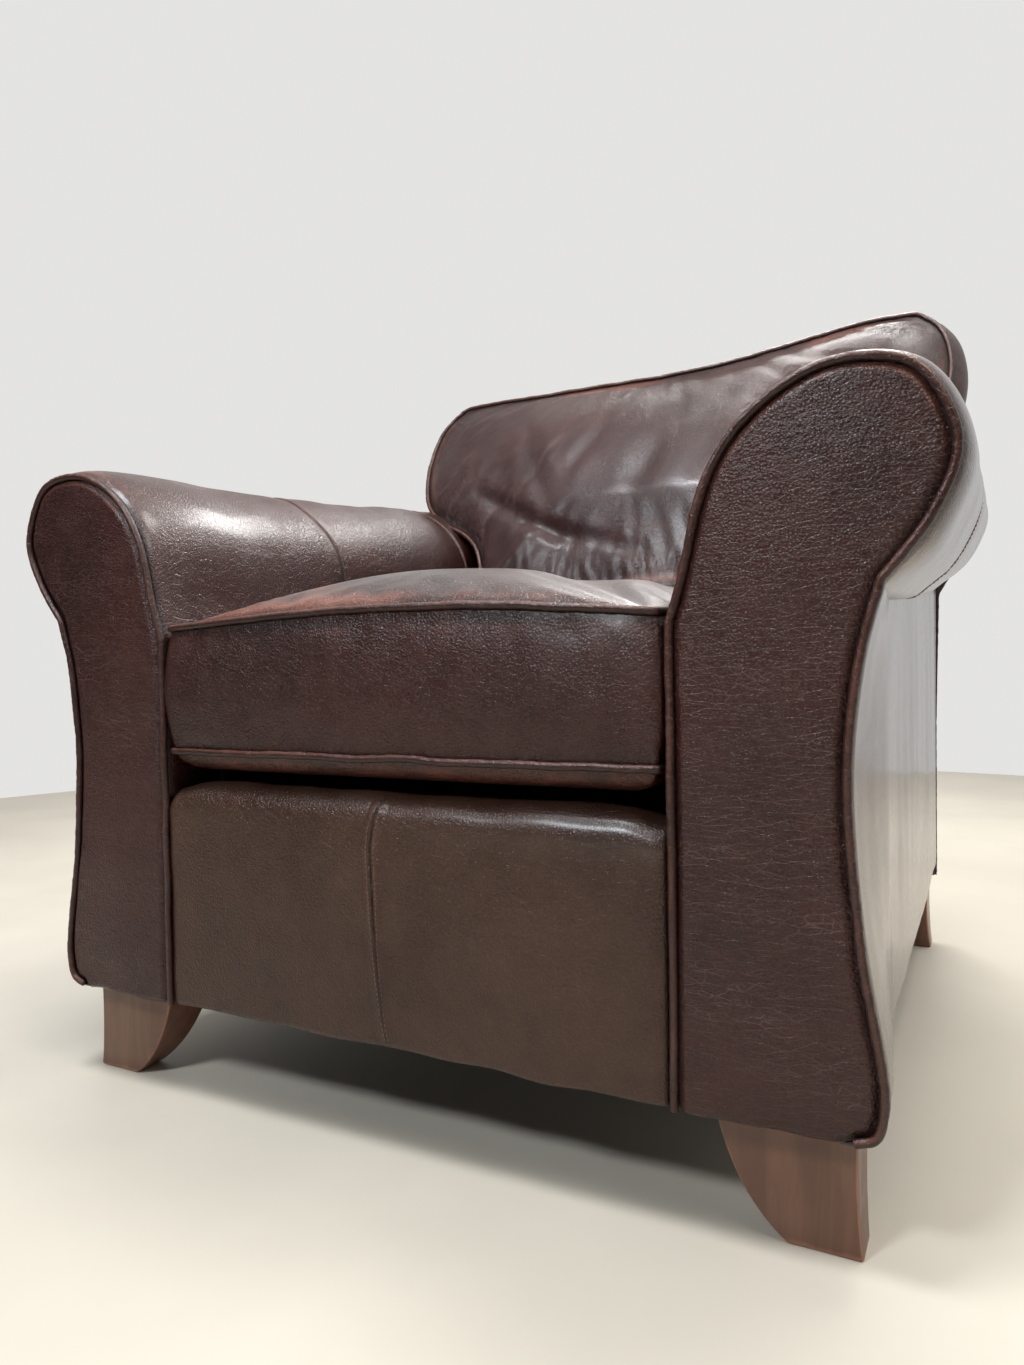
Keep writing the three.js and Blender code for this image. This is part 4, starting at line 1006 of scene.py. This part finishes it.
# Seat cushion: a flattened dome inside the top seam, less a wide dip where one sits, a bottom that
# hangs a little inside its seam by a quarter circle, and a boxing that bulges in front.
def buildSeat():
    u = np.sin(np.linspace(-1, 1, seat["columns"]) * 1.25) / math.sin(1.25)
    v = np.sin(np.linspace(-1, 1, seat["rows"]) * 1.25) / math.sin(1.25)
    u, v = np.meshgrid(u, v)
    x, y = seatPlan(u, v)
    flat = np.stack([x, y, x * 0], -1)
    dome = ((1 - u**4) * (1 - np.abs(v) ** 5)) ** 0.55
    edge = np.maximum(np.abs(u), np.abs(v))
    reach = np.maximum(edge, 1e-6)
    rim = seatSeamHeight(u / reach, v / reach) * edge + seat["seamSide"] * (1 - edge)
    sat = 5 * bell(u, 0.05, 0.5) * bell(v, 0.1, 0.55)
    top = flat + np.stack([0 * x, 0 * x, rim + seat["crown"] * dome - sat], -1)
    rimLine = flat.reshape(-1, 3)[rimOf(*x.shape)][:, :2]
    fromRim = distanceTo(flat[..., :2], np.concatenate([rimLine, rimLine[:1]]))[0]
    inward = np.clip(fromRim / seat["underRound"], 0, 1)
    hang = (seat["bottomSeam"] - seat["bottom"]) * np.sqrt(1 - (1 - inward) ** 2)
    bottom = flat + np.stack([0 * x, 0 * x, seat["bottomSeam"] - hang], -1)
    share = np.linspace(0, 1, seat["boxingRows"] + 1)[:, None]
    edgeY = y.ravel()[rimOf(*x.shape)]
    front = smooth(-edgeY, -80, -5)
    bulge = np.sin(np.pi * share) ** 0.75 * (1.5 + 6.5 * front[None])
    points, faces, rimIndex, size = cushionShell(top, bottom, seat["boxingRows"], bulge)
    held = np.concatenate([rimIndex, np.arange(size, 2 * size)])
    points = plump(points, faces, held, seat["pressure"], seat["grow"], seat["limit"])
    # Seams draw the leather in beside the piping; fine folds run away from them over the top.
    topRim = np.concatenate([points[rimIndex], points[rimIndex[:1]]])
    gap, place = distanceTo(points[:, :2], topRim[:, :2])
    high, low = points[:, 2] - seat["seamSide"], seat["bottomSeam"] - points[:, 2]
    onTop = np.arange(len(points)) < size
    onSide = np.arange(len(points)) >= 2 * size
    ripple = np.sin(place / 13 * 2 * np.pi + 2.4 * softNoise(points, 60, 5))
    corner = bell(np.abs(points[:, 0]), 250, 110) * bell(points[:, 1], 10, 150)
    gathered = smooth(softNoise(points, 120, 6), -0.5, 0.5)
    lift = onTop * 0.8 * ripple * bell(gap, 22, 24) * (0.35 + 0.8 * corner) * gathered
    folds = foldLines(points, 120, 7, 0.07, (1.7, 0.8, 1))
    folds = folds * smooth(softNoise(points, 150, 8), -0.1, 0.7) * onTop
    lift = lift - 0.5 * folds * smooth(gap, 8, 40) + onTop * 1.0 * softNoise(points, 190, 9)
    points[:, 2] += lift * smooth(gap, 0.5, 8)
    wave = onSide * (0.8 * softNoise(points, 110, 10) + 0.35 * softNoise(points, 45, 12, (1, 1, 0.7)))
    points[:, 1] -= wave * smooth(-points[:, 1], -40, 0) * smooth(-high, 2, 14) * smooth(-low, 2, 14)
    points[:, 0] = np.clip(points[:, 0], -255.6, 255.6)
    points[:, 1] = np.maximum(points[:, 1], -6.5)
    seamNear = np.minimum(np.where(onTop, gap, np.abs(high)), np.where(onTop, 99, np.abs(low)))
    onBottom = ~onTop & ~onSide
    rubAndLight = 0.35 * onTop * bell(gap, 10, 9) + 0.35 * onSide * bell(np.abs(high), 8, 7)
    # Partly wear, partly painted sheen: the whole top is made paler in wandering patches.
    rubAndLight = rubAndLight + onTop * (0.12 + 0.38 * smooth(softNoise(points, 200, 13), -0.5, 0.9))
    # Painted light: the underside's band just inside the bottom seam is made paler, for the light it gets
    # from the floor.
    rubAndLight = rubAndLight + 0.5 * onBottom * bell(gap, 6, 12)
    polished = 0.75 * onSide * smooth(points[:, 0], 40, 220) * bell(high, -28, 26) * (points[:, 1] < 30)
    # Painted shade along the piping seams.
    seamShade = 0.8 * bell(seamNear, 2.6, 2.4)
    piece = newPiece("seat_cushion", points, faces, leathers["seat"], slot="leather",
                     replaced=("seat_cushion",),
                     values={"rubAndLight": rubAndLight, "seamShade": seamShade, "fold": folds * 0.5,
                             "sleek": 0.6 * onTop * smooth(gap, 3, 20) + polished})
    for key, index, side in (("top", rimIndex, 1), ("bottom", rimIndex + size, -1)):
        path = evenly(np.concatenate([points[index], points[index[:1]]]), 1100)[:-1]
        path[:, :2] = offsetLine(path[:, :2], -1.6, True)
        path = path + 0.5 * softNoise(path, 70, 21 + side)[:, None] * (0.2, 0.2, 1)
        addCord(f"seat_cushion_{key}_piping", path, 3.5, leathers["piping"], closed=True, reference=(0, 0, 1),
                worn=(0, -0.55, 0.8), seed=23 + side, replaced=(f"seat_cushion_{key}_piping",))


buildSeat()
print("seat cushion ready")

back = {
    "rake": 24,
    "footY": 602,
    "footZ": 530,
    "shift": 6,
    "side": [[236, 8], [243, 60], [258, 100], [290, 130], [340, 156], [374, 190], [393, 230], [403, 274],
             [404, 320], [393, 362], [362, 394], [304, 408]],
    "middleTop": 394,
    "rimDepth": 34,
    "rearDepth": 100,
    "frontCrown": 32,
    "rearCrown": 24,
    "bulge": 25,
    "columns": 110,
    "rows": 84,
    "boxingRows": 18,
    "pressure": 2.6,
    "grow": 0.003,
    "limit": 14,
    "rightLift": 36,
    "rightSpread": 12,
    "leftDrop": 12,
    "footForward": 48,
}


# How far the back cushion's outline is raised: more to the right, less to the left, with a wave.
def backFaceLift(x, h):
    right = smooth(x, 60, 330) * smooth(h, 180, 400)
    left = smooth(-x, 80, 330) * smooth(h, 220, 400)
    wave = 3.0 * np.sin(x / 62 + 0.6) * smooth(h, 300, 400)
    return back["rightLift"] * right - back["leftDrop"] * left + wave


# From the cushion's face plane (across, up the face, behind it) to the layout.
def leanBack(x, h, behind):
    turn = math.radians(back["rake"])
    y = back["footY"] + math.cos(turn) * behind + math.sin(turn) * h
    z = back["footZ"] - math.sin(turn) * behind + math.cos(turn) * h
    return np.stack([x + back["shift"], y, z], -1)


# Back cushion: four edge curves are blended across a grid, each edge fading into the opposite one.
# The front and rear faces swell from the rim by a power curve, and the boxing by a sine.
def buildBack():
    side = throughPoints(back["side"], 14)
    corner = np.flatnonzero(side[:, 1] > 330)[0] + int(14 * 0.9)
    right = evenly(side[: corner + 1], back["rows"])
    shoulder = side[corner::9]
    across = [[150, 400], [0, back["middleTop"]], [-150, 400]]
    topLine = throughPoints(np.concatenate([shoulder, across, (shoulder * (-1, 1))[::-1]]), 10)
    top = evenly(topLine, back["columns"])[::-1]
    left = right * (-1, 1)
    bottom = evenly(np.array([left[0], (0, 0), right[0]], float), back["columns"])
    bottom[:, 1] = 8 - 8 * (1 - (bottom[:, 0] / 236) ** 2)
    u, v = np.linspace(0, 1, back["columns"])[None, :, None], np.linspace(0, 1, back["rows"])[:, None, None]
    flat = (1 - v) * bottom[None] + v * top[None] + (1 - u) * left[:, None] + u * right[:, None]
    flat = flat - (1 - v) * ((1 - u) * bottom[0] + u * bottom[-1])
    flat = flat - v * ((1 - u) * top[0] + u * top[-1])
    x, h = flat[..., 0], flat[..., 1]
    x = x + back["rightSpread"] * smooth(x, 180, 380) * smooth(h, 200, 330)
    h = h + backFaceLift(x, h)
    rimIndex = rimOf(*x.shape)
    rim2 = np.stack([x.ravel()[rimIndex], h.ravel()[rimIndex]], -1)
    gap, place = distanceTo(np.stack([x, h], -1), np.concatenate([rim2, rim2[:1]]))
    dome = 1 - (1 - np.clip(gap / 150, 0, 1)) ** 2.6
    turn = math.radians(back["rake"])
    forward = back["footForward"] * (1 - smooth(h, 90, 340)) * (1 - back["rimDepth"] / 128)
    frontFace = np.stack([x, h - forward * math.sin(turn),
                          back["rimDepth"] - back["frontCrown"] * dome - forward * math.cos(turn)], -1)
    rearFace = np.stack([x * 0.985, h * 0.985 + 3, back["rearDepth"] + back["rearCrown"] * dome], -1)
    arch = np.sin(np.pi * np.linspace(0, 1, back["boxingRows"] + 1)) ** 0.8
    ears = 0.2 + 0.8 * smooth(h.ravel()[rimIndex], 215, 290)
    bulge = arch[:, None] * back["bulge"] * ears[None]
    points, faces, rimIndex, size = cushionShell(frontFace * (1, 1, -1), rearFace * (1, 1, -1),
                                                 back["boxingRows"], bulge)
    points = plump(points, faces, np.concatenate([rimIndex, rimIndex + size]), back["pressure"], back["grow"],
                   back["limit"])
    points = points * (1, 1, -1)
    onFront = np.arange(len(points)) < size
    x, h = points[:, 0], points[:, 1]
    gap, place = distanceTo(points[:, :2], np.concatenate([rim2, rim2[:1]]))
    spot = np.stack([x, h, 0 * x], -1)

    # A soft valley from a to b, deepest in its middle.
    def valley(a, b, width, depth):
        a, b = np.array(a, float), np.array(b, float)
        t = ((spot[:, :2] - a) @ (b - a)) / ((b - a) ** 2).sum()
        off = np.linalg.norm(spot[:, :2] - a - np.clip(t, 0, 1)[:, None] * (b - a), axis=1)
        return depth * bell(off, 0, width) * smooth(t, -0.1, 0.25) * (1 - smooth(t, 0.65, 1.1))

    sink = valley((-285, 190), (-60, 60), 15, 7) + valley((-230, 350), (-120, 90), 20, 4)
    sink = sink + valley((-30, 360), (-120, 180), 14, 3.5) + valley((60, 330), (-10, 120), 24, 5)
    sink = sink + valley((130, 350), (90, 160), 16, 3.5) + valley((210, 330), (230, 150), 26, 5)
    sink = sink + valley((-200, 120), (40, 50), 13, 5) + valley((240, 210), (120, 60), 18, 4)
    strain = foldLines(spot, 120, 31, 0.09, (0.75, 1.5, 1)) * smooth(softNoise(spot, 170, 32), -0.25, 0.7)
    ripple = np.sin(place / 17 * 2 * np.pi + 2.6 * softNoise(spot, 70, 33)) * bell(gap, 20, 22)
    sink = sink + 1.5 * strain * smooth(gap, 6, 40)
    sink = sink + 0.9 * ripple * smooth(softNoise(spot, 110, 34), -0.4, 0.6)
    sink = sink + 2.2 * softNoise(spot, 230, 35) + 0.7 * softNoise(spot, 90, 36)
    points[:, 2] += onFront * sink * smooth(gap, 1, 14)
    rubAndLight = onFront * (0.35 * bell(gap, 9, 9) + 0.35 * smooth(softNoise(spot, 180, 37), -0.2, 0.9))
    onSide = np.arange(len(points)) >= 2 * size
    strip = np.zeros(len(points))  # how far across the boxing strip, from the front seam
    strip[2 * size :] = np.repeat(np.arange(1, back["boxingRows"]) / back["boxingRows"], len(rimIndex))
    rubAndLight = rubAndLight + 0.3 * onSide * bell(strip, 0.12, 0.1)
    # Painted shade beside the front seam and at both edges of the boxing.
    seamShade = 0.8 * np.where(onFront, bell(gap, 3, 2.4), onSide * bell(strip, 0.04, 0.035))
    seamShade = np.maximum(seamShade, 0.7 * onSide * bell(strip, 1, 0.04))
    place3 = leanBack(points[:, 0], points[:, 1], points[:, 2])
    piece = newPiece("back_cushion", place3, faces, leathers["back"], slot="leather",
                     replaced=("back_cushion",),
                     values={"rubAndLight": rubAndLight, "seamShade": seamShade, "fold": onFront * 0.55 * strain,
                             "sleek": onFront * (0.12 + 0.8 * bell(x, 190, 120) * bell(h, 170, 120))})
    path = evenly(np.concatenate([points[rimIndex], points[rimIndex[:1]]]), 1300)[:-1]
    path[:, :2] = offsetLine(path[:, :2], -1.8, True)
    path[:, 2] -= 0.6
    path = leanBack(path[:, 0], path[:, 1], path[:, 2])
    path = path + 0.5 * softNoise(path, 60, 38)[:, None] * (0.5, 1, 1)
    turn = math.radians(back["rake"])
    addCord("back_cushion_piping", path, 3.5, leathers["piping"], closed=True,
            reference=(0, math.cos(turn), -math.sin(turn)), worn=(0, -0.7, 0.7), seed=39,
            replaced=("back_cushion_piping",))


buildBack()
print("back cushion ready")


backFrame = {
    "foot": 302,
    "shoulder": 714,
    "faceDepth": 664,
    "faceRake": 0.4,
    "reach": 256,
    "shoulderReach": 386,
    "capHeight": 815,
    "straightRows": 26,
    "rearY": 929,
    "cornerRadius": 22,
    "shoulderRadius": 50,
    "frontRadius": 23,
}


# Depth of the inside back at a height: a straight rake.
def insideBackAt(z):
    return backFrame["faceDepth"] + backFrame["faceRake"] * (z - 300)


# Inside back pad: a raked plane that swells to the middle by a fourth power.
def buildInsideBack():
    x = np.linspace(-backFrame["reach"], backFrame["reach"], 60)[None]
    z = np.linspace(backFrame["foot"], backFrame["shoulder"] + 6, 90)[:, None]
    spot = np.stack(np.broadcast_arrays(x, insideBackAt(z), z), -1)
    push = 5 * (1 - (x / backFrame["reach"]) ** 4) + 1.5 * softNoise(spot, 150, 51)
    points = spot - push[..., None] * (0, 1, 0)
    pad = newPiece("inside_back_panel", points, gridFaces(*points.shape[:2]), leathers["back"],
                   slot="leather", replaced=("inside_back",), inside=(0, 900, 500), thickness=5)
    # The shoulders: a U-shaped plan round the head of the frame, carried up and closed over the top.
    radius, reach, rear = backFrame["cornerRadius"], backFrame["shoulderReach"], backFrame["rearY"]
    turn = np.linspace(0, np.pi / 2, 12)
    shoulder = backFrame["shoulderRadius"]
    top, straight = backFrame["capHeight"], backFrame["capHeight"] - shoulder
    rows = backFrame["straightRows"]
    height = np.concatenate([np.linspace(backFrame["shoulder"], straight, rows),
                             straight + shoulder * np.sin(turn[1:]), np.full(16, top)])
    inward = np.concatenate([np.zeros(rows), 1 - np.cos(turn[1:]), np.ones(16)])
    closing = np.concatenate([np.zeros(rows + 11), np.linspace(0, 1, 17)[1:]])
    frontY = insideBackAt(np.minimum(height, 800))
    halfX = np.concatenate([np.full(14, reach), reach - radius + radius * np.cos(turn[1:]),
                            np.linspace(reach - radius, 0, 40)[1:]])
    share = np.concatenate([np.linspace(1, 0, 14), np.zeros(11 + 39)])
    lead = np.concatenate([np.full(14, radius), radius * (1 - np.sin(turn[1:])), np.zeros(39)])
    planX = np.concatenate([halfX, -halfX[-2::-1]])
    share = np.concatenate([share, share[-2::-1]])
    lead = np.concatenate([lead, lead[-2::-1]])
    y = frontY[:, None] + lead[None] + share[None] * (rear - frontY[:, None] - lead[None])
    rearLean = rear + arm["backRake"] * (height - top)
    y = y + share[None] * (rearLean[:, None] - rear)
    x = np.broadcast_to(planX[None], y.shape)
    flatReach = reach - shoulder
    towardX, towardY = np.clip(x, -flatReach, flatReach), np.full_like(y, rear)
    x = x + (towardX - x) * inward[:, None]
    y = y + (rear - y) / (rear - frontY[:, None]) * backFrame["frontRadius"] * inward[:, None]
    x, y = mix(x, towardX, closing[:, None]), mix(y, towardY, closing[:, None])
    z = np.broadcast_to(height[:, None], y.shape) + 3.0 * np.sin(np.pi * closing)[:, None]
    spot = np.stack([x, y, z], -1)
    points = spot + 0.9 * softNoise(spot, 110, 52)[..., None] * np.array((0.3, 0.3, 1))
    # Painted shade along the last row of the top, where it meets the back.
    seamShade = 0.6 * bell(closing[:, None] + 0 * x, 1, 0.05)
    newPiece("back_shoulders", points, gridFaces(*points.shape[:2]), leathers["outside"], slot="leather",
             replaced=("left_back_side", "right_back_side"), inside=(0, 895, 740), thickness=3,
             values={"rubAndLight": (0.5 * bell(z, 812, 8)).ravel(), "seamShade": seamShade.ravel()})


buildInsideBack()


# Right half of the outside back: up the flank, round the arm's roll, over the shoulder to the top.
def outsideBackHalf():
    roll = throughPoints(arm["roll"], 12)
    roll = offsetLine(roll, 6.0)
    roll[:, 1] += arm["rise"] * smooth(roll[:, 1], arm["riseStart"], arm["riseFull"])
    roll = roll[::-1]
    roll = roll[(roll[:, 0] > 388) & (roll[:, 1] > 548)]
    turn = np.linspace(0, np.pi / 2, 12)
    shoulder = np.stack([336 + 50 * np.cos(turn), 762 + 50 * np.sin(turn)], -1)
    return np.concatenate([[(396, 93), (396, 330), (400, 520)], roll, [(386, 714)], shoulder])


# Outside back: its half outline is mirrored and filled row by row, drawn in beside the piping and
# swelling a little to the middle, then leaned back.
def buildOutsideBack():
    half = evenly(outsideBackHalf(), 150)
    across = np.linspace(-1, 1, 110)
    loop = np.concatenate([half, (half * (-1, 1))[::-1]])
    closed = np.concatenate([loop, loop[:1]])
    inset = offsetLine(half, 3.2)
    x = inset[:, :1] * across[None]
    z = np.broadcast_to(inset[:, 1:], x.shape)
    gap = distanceTo(np.stack([x, z], -1), closed)[0]
    spot = np.stack([x, 0 * x, z], -1)
    behind = arm["backPlane"] - 6 + 4.5 * smooth(gap, 5, 16) + 3.0 * smooth(gap, 10, 160)
    behind = behind + 1.3 * softNoise(spot, 260, 61) + 0.4 * softNoise(spot, 90, 62, (1.6, 1, 1))
    y = behind + arm["backRake"] * (z - arm["coverBottom"])
    points = np.stack([x, y, z], -1)
    # Painted shade beside the piping.
    seamShade = 0.7 * bell(gap, 7, 3)
    newPiece("outside_back", points, gridFaces(*points.shape[:2]), leathers["outside"], slot="leather",
             replaced=("outside_back",), inside=(0, 700, 450), thickness=3,
             values={"seamShade": seamShade.ravel(), "rubAndLight": (0.3 * bell(gap, 12, 6)).ravel()})
    cord = evenly(closed, 1300)[:-1]
    cord = offsetLine(cord, 3.2, True)
    y = arm["backPlane"] - 4.5 + arm["backRake"] * (cord[:, 1] - arm["coverBottom"])
    path = np.stack([cord[:, 0], y, cord[:, 1]], -1)
    addCord("outside_back_piping", path, 3.4, leathers["piping"], closed=True, worn=(0, 0.6, 0.7), seed=63,
            replaced=("outside_back_piping",))


buildOutsideBack()
print("back ready")


foot = {"height": 92.5, "inner": 284, "outer": 388, "soleInner": 338, "soleOuter": 391,
        "depth": 60, "soleDepth": 34, "frontFace": 27, "rearFace": 858, "round": 2.6}


# Curve from a to b pulled towards control, of the second degree.
def bendBetween(a, control, b, t):
    a, control, b = (np.array(q, float) for q in (a, control, b))
    t = t[:, None]
    return a * (1 - t) ** 2 + 2 * control * t * (1 - t) + b * t**2


# A bracket foot: at each height a rounded oblong between a bulging inner line and a nearly plumb
# outer one, deeper at the top than at the sole.
def buildFoot(label, side, facingWay, face):
    t = np.linspace(0, 1, 40)
    inner = bendBetween((foot["inner"], foot["height"]), (298, 28), (foot["soleInner"], 0), t)
    outer = bendBetween((foot["soleOuter"], 0), (386, 40), (foot["outer"], foot["height"]), t)
    deep = bendBetween((foot["depth"], foot["height"]), (50, 30), (foot["soleDepth"], 0), t)
    height = np.linspace(0, foot["height"], 46)
    arris = np.clip(np.minimum(height, foot["height"] - height), 0, 1.6)
    inset = 1.6 - np.sqrt(np.clip(1.6**2 - (1.6 - arris) ** 2, 0, None))
    low = np.interp(height, inner[::-1, 1], inner[::-1, 0]) + inset
    high = np.interp(height, outer[:, 1], outer[:, 0]) - inset
    reach = np.interp(height, deep[::-1, 1], deep[::-1, 0]) - inset
    r = foot["round"]
    turn = np.linspace(0, np.pi / 2, 6)
    ring = []
    for cx, cy, start in ((1, 1, 0), (-1, 1, 1), (-1, -1, 2), (1, -1, 3)):
        angle = turn + start * np.pi / 2
        ring.append(np.stack([np.full(6, cx), np.full(6, cy), np.cos(angle), np.sin(angle)], -1))
    ring = np.concatenate(ring)
    x = mix(low[:, None] + r, high[:, None] - r, (ring[None, :, 0] + 1) / 2) + r * ring[None, :, 2]
    y = mix(inset[:, None] + r, reach[:, None] - r, (ring[None, :, 1] + 1) / 2) + r * ring[None, :, 3]
    z = np.broadcast_to(height[:, None], x.shape)
    points = np.stack([x * side, face + facingWay * y, z], -1)
    count = x.shape[1]
    centres = points[[0, -1]].mean(1)
    first = np.arange(count)
    faces = [gridFaces(len(height), count, False, True), fanFaces(first[::-1], points.shape[0] * count),
             fanFaces(first + (len(height) - 1) * count, points.shape[0] * count + 1)]
    edge = np.broadcast_to(np.abs(ring[None, :, 2] * ring[None, :, 3]) * 2, x.shape)
    rubAndLight = np.maximum(edge * 0.8, 0.9 * bell(z, 0, 5)).ravel()
    newPiece(f"{label}_foot", np.concatenate([points.reshape(-1, 3), centres]), faces, footWood,
             slot="foot_wood", replaced=(f"{label}_foot",), values={"rubAndLight": np.concatenate([rubAndLight, [0, 0]])})


for label, side in (("left", -1), ("right", 1)):
    buildFoot(f"front_{label}", side, 1, foot["frontFace"])
    buildFoot(f"rear_{label}", side, -1, foot["rearFace"])
print("feet ready")


# Black cloths: the deck over the springs, rippled by a cosine, and the dust cover below.
def buildUnderCloths():
    low, high = (np.array(p) * 1000 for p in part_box("seat_deck"))
    x = np.linspace(low[0], high[0], 44)[None]
    y = np.linspace(76, 76 + (high[1] - low[1]) - 1, 40)[:, None]
    rise = 0.8 * np.cos(x / 98 * 2 * np.pi) * np.sin(np.pi * (y - 76) / (high[1] - low[1])) + 0 * y
    points = np.stack(np.broadcast_arrays(x, y, high[2] - 1.2 + rise), -1)
    deck = newPiece("seat_deck_cloth", points, gridFaces(*points.shape[:2]), blackCloth, slot="black_cloth",
                    replaced=("seat_deck",), inside=(0, 400, 200), thickness=20)
    # The dust cover is one cloth, narrow past the feet and wide between them, and sags a little.
    depth = np.unique(np.concatenate([np.linspace(24, 880, 80), [102.5, 103.5, 781.5, 782.5]]))[:, None]
    wide = ((depth > 103) & (depth < 782)).astype(float)
    reach = 282 + 92 * wide
    across = np.linspace(-1, 1, 40)[None]
    x, y = across * reach, depth + 0 * across
    sag = 2.0 * np.cos(across * np.pi / 2) * np.sin(np.pi * (y - 24) / 856)
    points = np.stack([x, y, 96.2 - sag], -1)
    cover = newPiece("dust_cover_cloth", points, gridFaces(*points.shape[:2]), blackCloth, slot="black_cloth",
                     replaced=("dust_cover",), inside=(0, 450, 300), thickness=0.8)


buildUnderCloths()


# Timber, springs, webbing and bolts keep their own shape from the frame.
def dressFrame():
    for key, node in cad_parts.items():
        if "spring" in key or "bolt" in key:
            finish = springSteel
        elif "webbing" in key:
            finish = webbingCloth
        elif any(word in key for word in ("rail", "board", "post", "block")):
            finish = frameWood
        else:
            continue
        node.data.materials.clear()
        node.data.materials.append(finish)


dressFrame()
print("frame dressed")


cameraTurn = (27.159, -1.4466, -0.9856)  # about z, tilt and roll, in degrees
cameraPlace = (0.47383, -1.13389, 0.433)
cameraLens = 24.765
studio = {
    "floor": (0.66, 0.61, 0.52),
    "floorReach": 2.6,
    "world": (0.80, 0.795, 0.78),
    "seenStrength": 0.97,
    "dimStrength": 0.01,
    "brightStrength": 0.9,
    "brightSide": (0.2, 0.83, 0.52),
}


# A round pale floor and the room's light.
def buildStudio():
    angle = np.linspace(0, 2 * np.pi, 97)[:-1]
    ring = np.stack([np.cos(angle), np.sin(angle), 0 * angle], -1) * studio["floorReach"] * 1000
    points = np.concatenate([ring, [[0, 0, 0]]]) + (0, 466, 0)
    faces = [fanFaces(np.arange(len(ring)), len(ring))]
    material, tree, shader = newMaterial("paleFloor", studio["floor"])
    place = addNode(tree, "TexCoord").outputs["Object"]
    cloud = addNode(tree, "TexNoise", {"Vector": place, "Scale": 3.0, "Detail": 5.0}).outputs["Fac"]
    floor = studio["floor"]
    colour = mixColour(tree, ramp(tree, cloud, 0.3, 0.7), [c * 0.95 for c in floor],
                       [c * 1.05 for c in floor])
    tree.links.new(colour, shader.inputs["Base Color"])
    shader.inputs["Roughness"].default_value = 0.55
    floorPiece = newPiece("floor", points, faces, material, inside=(0, 466, -500), ridden=False)
    # The room: even and pale to look at, brighter from behind the chair and above than from in front.
    world = bpy.data.worlds.new("paleRoom")
    world.use_nodes = True
    tree = world.node_tree
    ground = tree.nodes["Background"]
    ray = addNode(tree, "TexCoord").outputs["Generated"]
    behind = addNode(tree, "VectorMath", {0: ray, 1: studio["brightSide"]},
                     operation="DOT_PRODUCT").outputs["Value"]
    bright = ramp(tree, behind, -0.2, 0.75)
    glow = math2(tree, "MULTIPLY", bright, studio["brightStrength"])
    glow = math2(tree, "ADD", studio["dimStrength"], glow)
    seen = addNode(tree, "LightPath").outputs["Is Camera Ray"]
    strength = addNode(tree, "Mix", {0: seen, 2: glow, 3: studio["seenStrength"]})
    tree.links.new(strength.outputs[0], ground.inputs["Strength"])
    ground.inputs["Color"].default_value = (*studio["world"], 1)
    bpy.context.scene.world = world


# A rectangular lamp at place that faces aim.
def addLight(name, place, aim, size, power, colour):
    light = bpy.data.lights.new(name, "AREA")
    light.shape, light.size, light.size_y = "RECTANGLE", size[0], size[1]
    light.energy, light.color = power, colour
    lamp = bpy.data.objects.new(name, light)
    bpy.context.scene.collection.objects.link(lamp)
    lamp.location = place
    lamp.rotation_euler = (Vector(aim) - Vector(place)).to_track_quat("-Z", "Y").to_euler()
    lamp.visible_camera = False


# The camera's axes come from its turn about z, its tilt and its roll, in that order.
def addCamera():
    yaw, pitch, roll = (math.radians(a) for a in cameraTurn)
    forward = Vector((-math.sin(yaw) * math.cos(pitch), math.cos(yaw) * math.cos(pitch), math.sin(pitch)))
    right = Vector((math.cos(yaw), math.sin(yaw), 0))
    up = right.cross(forward)
    across = right * math.cos(roll) + up * math.sin(roll)
    above = up * math.cos(roll) - right * math.sin(roll)
    lens = bpy.data.cameras.new("camera")
    lens.sensor_fit, lens.sensor_height, lens.lens = "VERTICAL", 36, cameraLens
    camera = bpy.data.objects.new("camera", lens)
    bpy.context.scene.collection.objects.link(camera)
    turned = Matrix((across, above, -forward)).transposed()
    camera.matrix_world = Matrix.Translation(cameraPlace) @ turned.to_4x4()
    bpy.context.scene.camera = camera


buildStudio()
addLight("behind", (0.0, 1.55, 2.35), (-0.1, -0.2, 0.5), (0.9, 0.5), 42, (1.0, 0.98, 0.96))
addLight("overhead", (0.7, 0.2, 2.5), (0.3, -0.1, 0.4), (0.6, 0.6), 24, (1.0, 0.98, 0.94))
addLight("overFront", (-0.35, -0.85, 2.4), (0, 0.1, 0.6), (0.5, 0.5), 32, (0.93, 0.96, 1.0))
addLight("frontLeft", (-0.5, -2.05, 1.85), (0.15, -0.4, 0.4), (0.4, 0.3), 26, (0.9, 0.95, 1.0))
addLight("frontRight", (1.6, -1.0, 2.3), (0.7, -0.6, 0.0), (0.8, 0.8), 22, (1.0, 0.97, 0.92))
addCamera()
bpy.context.scene.view_settings.view_transform = "Standard"
bpy.context.scene.view_settings.look = "None"
